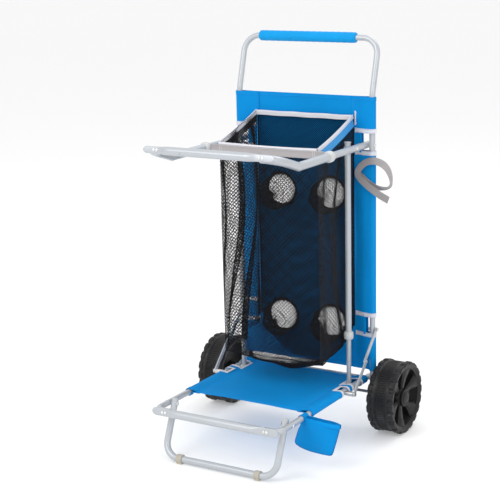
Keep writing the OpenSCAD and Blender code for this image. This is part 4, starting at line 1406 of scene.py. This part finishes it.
def bag_lining():
    """The bag's own rear wall, a closer net that lies on the panel, with holes for the cups."""
    z0, z1 = 0.168, BAG_TOP_REAR[1] - 0.004

    def keep(u, v):
        x, z = u - BAG_X, z0 + v
        ok = v > corner_rise(x)
        for cz in CUP_ROWS:
            for side in (-1, 1):
                ok &= (x - side * CUP_X) ** 2 + (z - cz) ** 2 > (CUP_HOLE_R + 0.002) ** 2
        return ok

    def lay(u, v):
        x, z = u - BAG_X, z0 + v
        calm = math.sin(math.pi * min(1.0, v / (z1 - z0)))
        loose = 0.0012 + 0.0012 * (1 + math.sin(x * 31 + z * 12)) * calm
        return panel_point(PANEL_MID + x, z) + Vector((0, -0.0016 - loose, 0))

    shape = Shape().add(*net(2 * BAG_X, z1 - z0, 0.0062, keep, lay, 0.00085))
    for side in (-1, 1):
        foot = z0 + CORNER_RISE
        line = [at(side * BAG_X, PANEL_Y - 0.0026, foot + (z1 - foot) * k / 40) for k in range(41)]
        shape.add(*ribbon(line, 0.005, 0.0010, (0, -1, 0)))
    thing = shape.piece("bag_lining_net", DENSE_NET, "cart_frame", "black_net", smooth=False)


BINDING_W = 0.0125
BAND_W = 0.0205


def folded_tape(path, width, face, drop):
    """Tape folded over an edge: two leaves and the fold, as one ribbon with a U section."""
    path = [Vector(p) for p in path]
    gap = 0.0016
    verts = []
    for i, p in enumerate(path):
        t = tangent(path, i)
        n = Vector(face)
        n = (n - t * n.dot(t)).normalized()
        d = Vector(drop)
        d = (d - t * d.dot(t) - n * d.dot(n)).normalized()
        ring = [(gap, width), (gap + 0.0002, width * 0.5), (gap, 0.0016), (gap * 0.6, 0.0003),
                (0, -0.0004), (-gap * 0.6, 0.0003), (-gap, 0.0016), (-gap - 0.0002, width * 0.5),
                (-gap, width), (-gap + 0.0008, width), (-gap + 0.0008, 0.0022),
                (gap - 0.0008, 0.0022), (gap - 0.0008, width)]
        verts.extend(p + n * x + d * y for x, y in ring)
    return verts, skin(len(path), len(ring))


def spanning(name, shape, material, slot):
    """A piece that runs from the panel to the upper bar, along the bag's upper side edge."""
    thing = shape.piece(name, material, slot=slot)
    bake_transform(thing)


def bag_bands():
    top_y, top_z = BAG_TOP_FRONT
    front = []
    for k in range(41):
        z = top_z + 0.0022 - 0.0022 * math.sin(math.pi * k / 40)
        front.append(at(BAG_X * (k / 20 - 1), top_y - 0.0012, z))
    white = Shape().add(*folded_tape(front, BINDING_W, (0, -1, 0), (0, 0.1, -1)))
    white.piece("bag_binding_front", WHITE_TAPE, "upper_bar", "webbing")
    reach = BAND_HIGH.x - 0.0005
    z = (BAND_LOW.z + BAND_HIGH.z) / 2
    line = []
    for k in range(61):
        sag = 0.0016 * math.sin(math.pi * k / 60)
        line.append(at(reach * (k / 30 - 1), top_y - 0.0044, z - sag))
    tape = Shape().add(*ribbon(line, BAND_W, 0.0013, (0, -1, 0.06)))
    tape.piece("bag_band", GREY_TAPE, "upper_bar", "webbing", replaces=("bag_front_band",))
    thread = Shape()
    for dz in (-0.0086, 0.0086):
        thread.add(*stitches([p + Vector((0, -0.0008, dz)) for p in line], (0, -1, 0)))
    for side in (-1, 1):
        for x in (BAG_X - 0.004, BAG_X - 0.010):
            run = [at(side * x, top_y - 0.0052, z - 0.0085), at(side * x, top_y - 0.0052, z + 0.0085)]
            thread.add(*stitches(run, (0, -1, 0), 0.0026, 0.0022, 0.0005))
    thread.piece("bag_band_stitching", WHITE_THREAD, "upper_bar", "webbing")

    rear_y, rear_z = BAG_TOP_REAR
    rear = [at(BAG_X * (k / 20 - 1), rear_y, rear_z + 0.0004 * math.sin(k * 0.5)) for k in range(41)]
    tape = Shape().add(*folded_tape(rear, BINDING_W, (0, -1, 0), (0, 0, -1)))
    tape.piece("bag_binding_rear", WHITE_TAPE, "cart_frame", "webbing")
    tabs = Shape()
    path = [at(BAG_X + 0.0085, PANEL_Y - 0.0036, z) for z in (0.842, 0.880)]
    tabs.add(*ribbon(path, 0.0085, 0.0012, (0, -1, 0)))
    for z in (0.8475, 0.8750):
        bar = [at(BAG_X + x, PANEL_Y - 0.0046, z) for x in (0.0048, 0.0122)]
        tabs.add(*ribbon(bar, 0.0016, 0.0008, (0, -1, 0)))
    tabs.piece("bag_corner_tab", WHITE_TAPE, "cart_frame", "webbing")

    for side, word in SIDES:
        x = side * (BAG_X + 0.0010)
        steps = 24
        edge = []
        for k in range(steps + 1):
            t = k / steps
            sag = 0.004 * math.sin(math.pi * t)
            edge.append(at(x, rear_y + (top_y - rear_y) * t, rear_z + (top_z - rear_z) * t - sag + 0.0022))
        tape = Shape().add(*folded_tape(edge, 0.0120, (1, 0, 0), (0, 0, -1)))
        spanning("bag_binding_" + word, tape, WHITE_TAPE, "webbing")
        lower = [p + Vector((side * 0.0026, 0, -0.0225)) for p in edge]
        normal = (side, 0, 0)
        tape = Shape().add(*ribbon(lower, 0.0215, 0.0011, normal))
        spanning("bag_side_band_" + word, tape, BLUE_TAPE, "blue_fabric")
        inner = [p + Vector((side * -0.0022, 0, 0)) for p in lower]
        tape = Shape().add(*ribbon(inner, 0.0225, 0.0009, normal))
        spanning("bag_side_facing_" + word, tape, BLACK_TAPE, "black_net")
        thread = Shape()
        for dz in (-0.0095, 0.0095):
            line = [p + Vector((side * 0.0007, 0, dz)) for p in lower]
            thread.add(*stitches(line, normal))
        spanning("bag_side_stitching_" + word, thread, BLUE_THREAD, "blue_fabric")


bag_front()
bag_body()
bag_lining()
bag_bands()


# ---------------------------------------------------------------- umbrella strap and pocket

def umbrella_strap():
    points = [
        (0.2680, -0.0330, 0.6530), (0.2400, -0.0280, 0.6640), (0.2100, -0.0220, 0.6790),
        (0.1880, -0.0165, 0.6920), (0.1720, -0.0118, 0.7030), (0.1660, -0.0104, 0.7150),
        (0.1740, -0.0112, 0.7310), (0.1920, -0.0145, 0.7455), (0.2150, -0.0165, 0.7520),
        (0.2390, -0.0160, 0.7470), (0.2560, -0.0150, 0.7330), (0.2650, -0.0140, 0.7130),
        (0.2665, -0.0130, 0.6960), (0.2610, -0.0125, 0.6850), (0.2480, -0.0130, 0.6800),
        (0.2300, -0.0135, 0.6800), (0.2100, -0.0125, 0.6850), (0.1920, -0.0118, 0.6950),
        (0.1760, -0.0078, 0.7060),
    ]
    faces = [
        (-0.10, -1.0, 0.05), (-0.10, -1.0, 0.05), (-0.15, -1.0, 0.0), (-0.2, -1.0, 0.0), (-0.25, -1.0, 0.0),
        (-0.2, -1.0, 0.05), (-0.2, -1.0, 0.2), (-0.15, -0.9, 0.4), (0.1, -0.9, 0.5), (0.4, -0.75, 0.5),
        (0.75, -0.45, 0.4), (0.95, -0.1, 0.1), (0.95, 0.1, -0.2), (0.7, -0.2, -0.6), (0.2, -0.5, -0.75),
        (0.0, -0.75, -0.6), (0.0, -0.95, -0.3), (-0.1, -1.0, -0.1), (-0.3, -1.0, 0.0),
    ]
    path = smooth_path(ats(points), 6)
    looks = smooth_path([Vector(f) for f in faces], 6)
    shape = Shape().add(*ribbon(path, 0.0200, 0.0013, lambda i, p: looks[min(i, len(looks) - 1)]))
    # sewn to the sleeve behind it
    tab = [at(0.162, -0.0040, 0.7150), at(0.170, -0.0062, 0.7100), at(0.181, -0.0095, 0.7030)]
    shape.add(*ribbon(smooth_path(tab, 5), 0.018, 0.0012, (-0.2, -1, 0)))
    shape.piece("umbrella_strap_loop", GREY_TAPE, "cart_frame", "webbing", replaces=("umbrella_strap",))


POUCH_Y = -0.361
# how far each face of the pocket bulges, and how far in from its edge the bulge is full
POUCH_BULGE, POUCH_EDGE = 0.0078, 0.024
POUCH = [
    (0.1785, 0.1455), (0.1785, 0.1300), (0.1780, 0.1180), (0.1720, 0.1060), (0.1650, 0.0850),
    (0.1610, 0.0690), (0.1700, 0.0610), (0.1860, 0.0560), (0.2060, 0.0525), (0.2300, 0.0510),
    (0.2500, 0.0505), (0.2640, 0.0520), (0.2700, 0.0600), (0.2770, 0.0820), (0.2850, 0.1100),
    (0.2925, 0.1380),
]


def pouch():
    border = np.array(POUCH)
    flat, faces = cut_sheet(POUCH, [], 0.0065)
    closed = list(zip(border[:-1], border[1:]))

    def bulge(u, v):
        near = 1.0
        for a, b in closed:
            t = np.clip(np.dot((u, v) - a, b - a) / np.dot(b - a, b - a), 0, 1)
            near = min(near, float(np.linalg.norm(a + (b - a) * t - (u, v))))
        return POUCH_BULGE * math.sqrt(min(1.0, near / POUCH_EDGE))

    shape = Shape()
    for way in (-1, 1):
        def lay(u, v, way=way):
            fold = 0.0016 * math.sin(55 * u + 40 * v) * min(1.0, bulge(u, v) / 0.006)
            return at(u, POUCH_Y + way * (bulge(u, v) + 0.0004) + fold, v)

        shape.add(*thick_sheet(flat, faces, lay, 0.0009))
    # the pocket is drawn in the darker copy of the canvas, as painted shade
    thing = shape.piece("umbrella_pocket", BLUE_SHADE, "platform", "blue_fabric",
                        replaces=("umbrella_pouch",))
    piping = Shape().add(*tube(smooth_path([at(x, POUCH_Y, z) for x, z in POUCH], 5), 0.0015, 8))
    piping.piece("pocket_piping", cloth("dark blue piping", (0.0, 0.10, 0.38)), "platform", "blue_fabric")
    hem = Shape()
    top_a, top_b = (Vector((x, 0, z)) for x, z in (POUCH[0], POUCH[-1]))
    for way in (-1, 1):
        line = []
        for k in range(21):
            t = k / 20
            p = top_a.lerp(top_b, t)
            line.append(at(p.x, POUCH_Y + way * (bulge(p.x, p.z - 0.004) + 0.0014), p.z - 0.0060))
        hem.add(*ribbon(line, 0.0115, 0.0009, (0, way, 0)))
        hem.add(*stitches([p + Vector((0, way * 0.0007, -0.004)) for p in line], (0, way, 0)))
    hem.piece("pocket_hem", BLUE, "platform", "blue_fabric")
    # the loop of cloth round the platform tube that carries the pocket
    loop = []
    for k in range(25):
        a = math.radians(-20 + 330 * k / 24)
        r = TUBE_R + 0.0012
        loop.append(Vector((SIDE_X + r * math.cos(a), FRAME_Y + POUCH_Y, PLATFORM_Z + r * math.sin(a))))
    mid = Vector((SIDE_X, FRAME_Y + POUCH_Y, PLATFORM_Z))
    band = Shape().add(*ribbon(loop, 0.026, 0.0010, lambda i, p: p - mid))
    # the loop is drawn in the darker copy of the canvas, as painted shade
    band.piece("pocket_loop", BLUE_SHADE, "platform", "blue_fabric")


umbrella_strap()
pouch()


# ---------------------------------------------------------------- platform cloth

PLATE_LOW, PLATE_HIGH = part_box("platform_fabric")
PLATE_Y0, PLATE_Y1 = PLATE_LOW.y - FRAME_Y, PLATE_HIGH.y - FRAME_Y
# each notch as (front y, rear y, inner x)
PLATE_NOTCHES = ((-0.099, -0.050, 0.155), (-0.158, -0.128, 0.166))
PLATE_SEAM_X = 0.150
PLATE = mirrored(*sleeve_profile(SIDE_X, 0.0034, SLEEVE_R, PLATE_SEAM_X, 0.0018))
PLATE_HALF = len(PLATE.points) // 2
PLATE_MID = PLATE.at[PLATE_HALF]
PLATE_TOP = slice(PLATE_HALF, PLATE_HALF + 6)
PLATE_UNDER = slice(len(PLATE.points) - 4, len(PLATE.points))


def plate_point(s, y):
    x, h = PLATE(s)
    if h < 0.0018 and abs(x) < SIDE_X - 0.004:
        near = step_up((SIDE_X - 0.004 - abs(x)) / 0.006)
        h += (0.0017 - h) * step_up((-0.290 - y) / 0.022) * near
    flat = max(0.0, 1 - abs(x) / 0.17)
    share = (y - PLATE_Y0) / (PLATE_Y1 - PLATE_Y0)
    sag = 0.0035 * flat * math.sin(math.pi * min(1.0, max(0.0, share)))
    ripple = waves(x, y, ((3.1, 2.3, 0.5, 0.0008), (1.3, 6.1, 1.9, 0.0007), (7.0, 1.0, 0.4, 0.0004)))
    return Vector((x, FRAME_Y + y, PLATFORM_Z + h - sag + ripple * min(1.0, flat * 3)))


def plate_line(s0, s1, y, out, count=60):
    """A line across the platform's cloth at one y, lifted off it by out."""
    return along_cloth(PLATE, plate_point, lambda t: Vector((-t.z, 0, t.x)), s0, s1, y, out, count)


def platform_cloth():
    total = PLATE.length
    holes = []
    for y0, y1, inner in PLATE_NOTCHES:
        top, under = PLATE.find(inner + 0.004, PLATE_TOP), PLATE.find(inner + 0.004, PLATE_UNDER)
        holes.append([(top, y0), (under, y0), (under, y1), (top, y1)])
        holes.append([(total - under, y0), (total - top, y0), (total - top, y1), (total - under, y1)])
    outline = [(0, PLATE_Y0), (total, PLATE_Y0), (total, PLATE_Y1), (0, PLATE_Y1)]
    flat, faces = cut_sheet(outline, holes, 0.009)
    thing = piece("platform_cloth", *thick_sheet(flat, faces, plate_point, 0.0010), BLUE, "platform",
                  "blue_fabric", replaces=("platform_fabric",))
    white, thread, hem = Shape(), Shape(), Shape()

    def band(shape, s0, s1, y, width, out, count=60):
        add_band(shape, plate_line(s0, s1, y, out, count), width)

    for y0, y1, inner in PLATE_NOTCHES:
        top, under = PLATE.find(inner + 0.004, PLATE_TOP), PLATE.find(inner + 0.004, PLATE_UNDER)
        above, below = PLATE(top - 0.001)[1] + 0.0009, PLATE(under + 0.001)[1] - 0.0007
        for y, way in ((y0, -1), (y1, 1)):
            for flip in (False, True):
                a, b = (top - 0.003, under) if not flip else (total - under, total - top + 0.003)
                band(white, a, b, y + way * 0.0032, 0.0085, 0.0011)
        for side in (-1, 1):
            x = side * (inner + 0.003)
            for up, dz in ((1, above), (-1, below)):
                path = [Vector((x, FRAME_Y + y0 - 0.006, PLATFORM_Z + dz)),
                        Vector((x, FRAME_Y + y1 + 0.006, PLATFORM_Z + dz))]
                white.add(*ribbon(path, 0.0085, 0.0009, (0, 0, up)))
    white.piece("platform_notch_binding", WHITE_TAPE, "platform", "webbing")
    for y, way in ((PLATE_Y0, 1), (PLATE_Y1, -1)):
        band(hem, 0.004, total - 0.004, y + way * 0.0085, 0.0165, 0.0008, 130)
        for d in (0.0025, 0.0150):
            line = [p for p, n in plate_line(PLATE_MID - 0.15, PLATE_MID + 0.15, y + way * d, 0.0014, 80)]
            thread.add(*stitches(line, (0, 0, 1)))
    hem.piece("platform_hems", BLUE, "platform", "blue_fabric")
    spans = [(PLATE_Y0 + 0.004, -0.168), (-0.120, -0.107), (-0.042, PLATE_Y1 - 0.004)]
    for side in (-1, 1):
        for row in SEAM_ROWS:
            s = PLATE.find(PLATE_SEAM_X + row, PLATE_TOP)
            s = s if side > 0 else total - s
            for a, b in spans:
                n = max(2, int((b - a) / 0.02))
                line = [plate_point(s, a + (b - a) * k / n) + Vector((0, 0, 0.0006)) for k in range(n + 1)]
                thread.add(*stitches(line, (0, 0, 1)))
    thread.piece("platform_stitching", BLUE_THREAD, "platform", "blue_fabric")


platform_cloth()


# ---------------------------------------------------------------- studio

# each lamp's name, place, diameter and power in watts
LAMPS = (
    ("key", (-1.2, -3.4, 3.2), 2.6, 70),
    ("fill", (3.4, -2.2, 2.2), 2.6, 36),
    ("top", (0.4, 1.8, 3.6), 2.4, 40),
)
FLOOR_HALF = 30


def studio():
    floor = bpy.data.meshes.new("floor")
    corners = [(x * FLOOR_HALF, y * FLOOR_HALF, 0) for x, y in ((-1, -1), (1, -1), (1, 1), (-1, 1))]
    floor.from_pydata(corners, [], [(0, 1, 2, 3)])
    thing = bpy.data.objects.new("floor", floor)
    bpy.context.scene.collection.objects.link(thing)
    n = Nodes("floor").set(Roughness=0.7)
    n.shader.inputs["Base Color"].default_value = (0.72, 0.72, 0.72, 1)
    n.shader.inputs["Emission Color"].default_value = (1.0, 1.0, 1.0, 1)
    n.shader.inputs["Emission Strength"].default_value = 0.24
    n.shader.inputs["Specular IOR Level"].default_value = 0.15
    floor.materials.append(n.material)
    world = bpy.data.worlds.new("world")
    bpy.context.scene.world = world
    world.use_nodes = True
    world.node_tree.nodes["Background"].inputs["Color"].default_value = (1.0, 1.0, 1.0, 1)
    world.node_tree.nodes["Background"].inputs["Strength"].default_value = 0.95
    bpy.context.scene.view_settings.view_transform = "Standard"

    def lamp(name, spot, target, size, watts):
        data = bpy.data.lights.new(name, "AREA")
        data.shape = "DISK"
        data.size = size
        data.energy = watts
        lamp_object = bpy.data.objects.new(name, data)
        bpy.context.scene.collection.objects.link(lamp_object)
        lamp_object.location = spot
        lamp_object.rotation_euler = (Vector(target) - Vector(spot)).to_track_quat("-Z", "Y").to_euler()

    for name, spot, size, watts in LAMPS:
        lamp(name, spot, (0, 0, 0.5), size, watts)


studio()
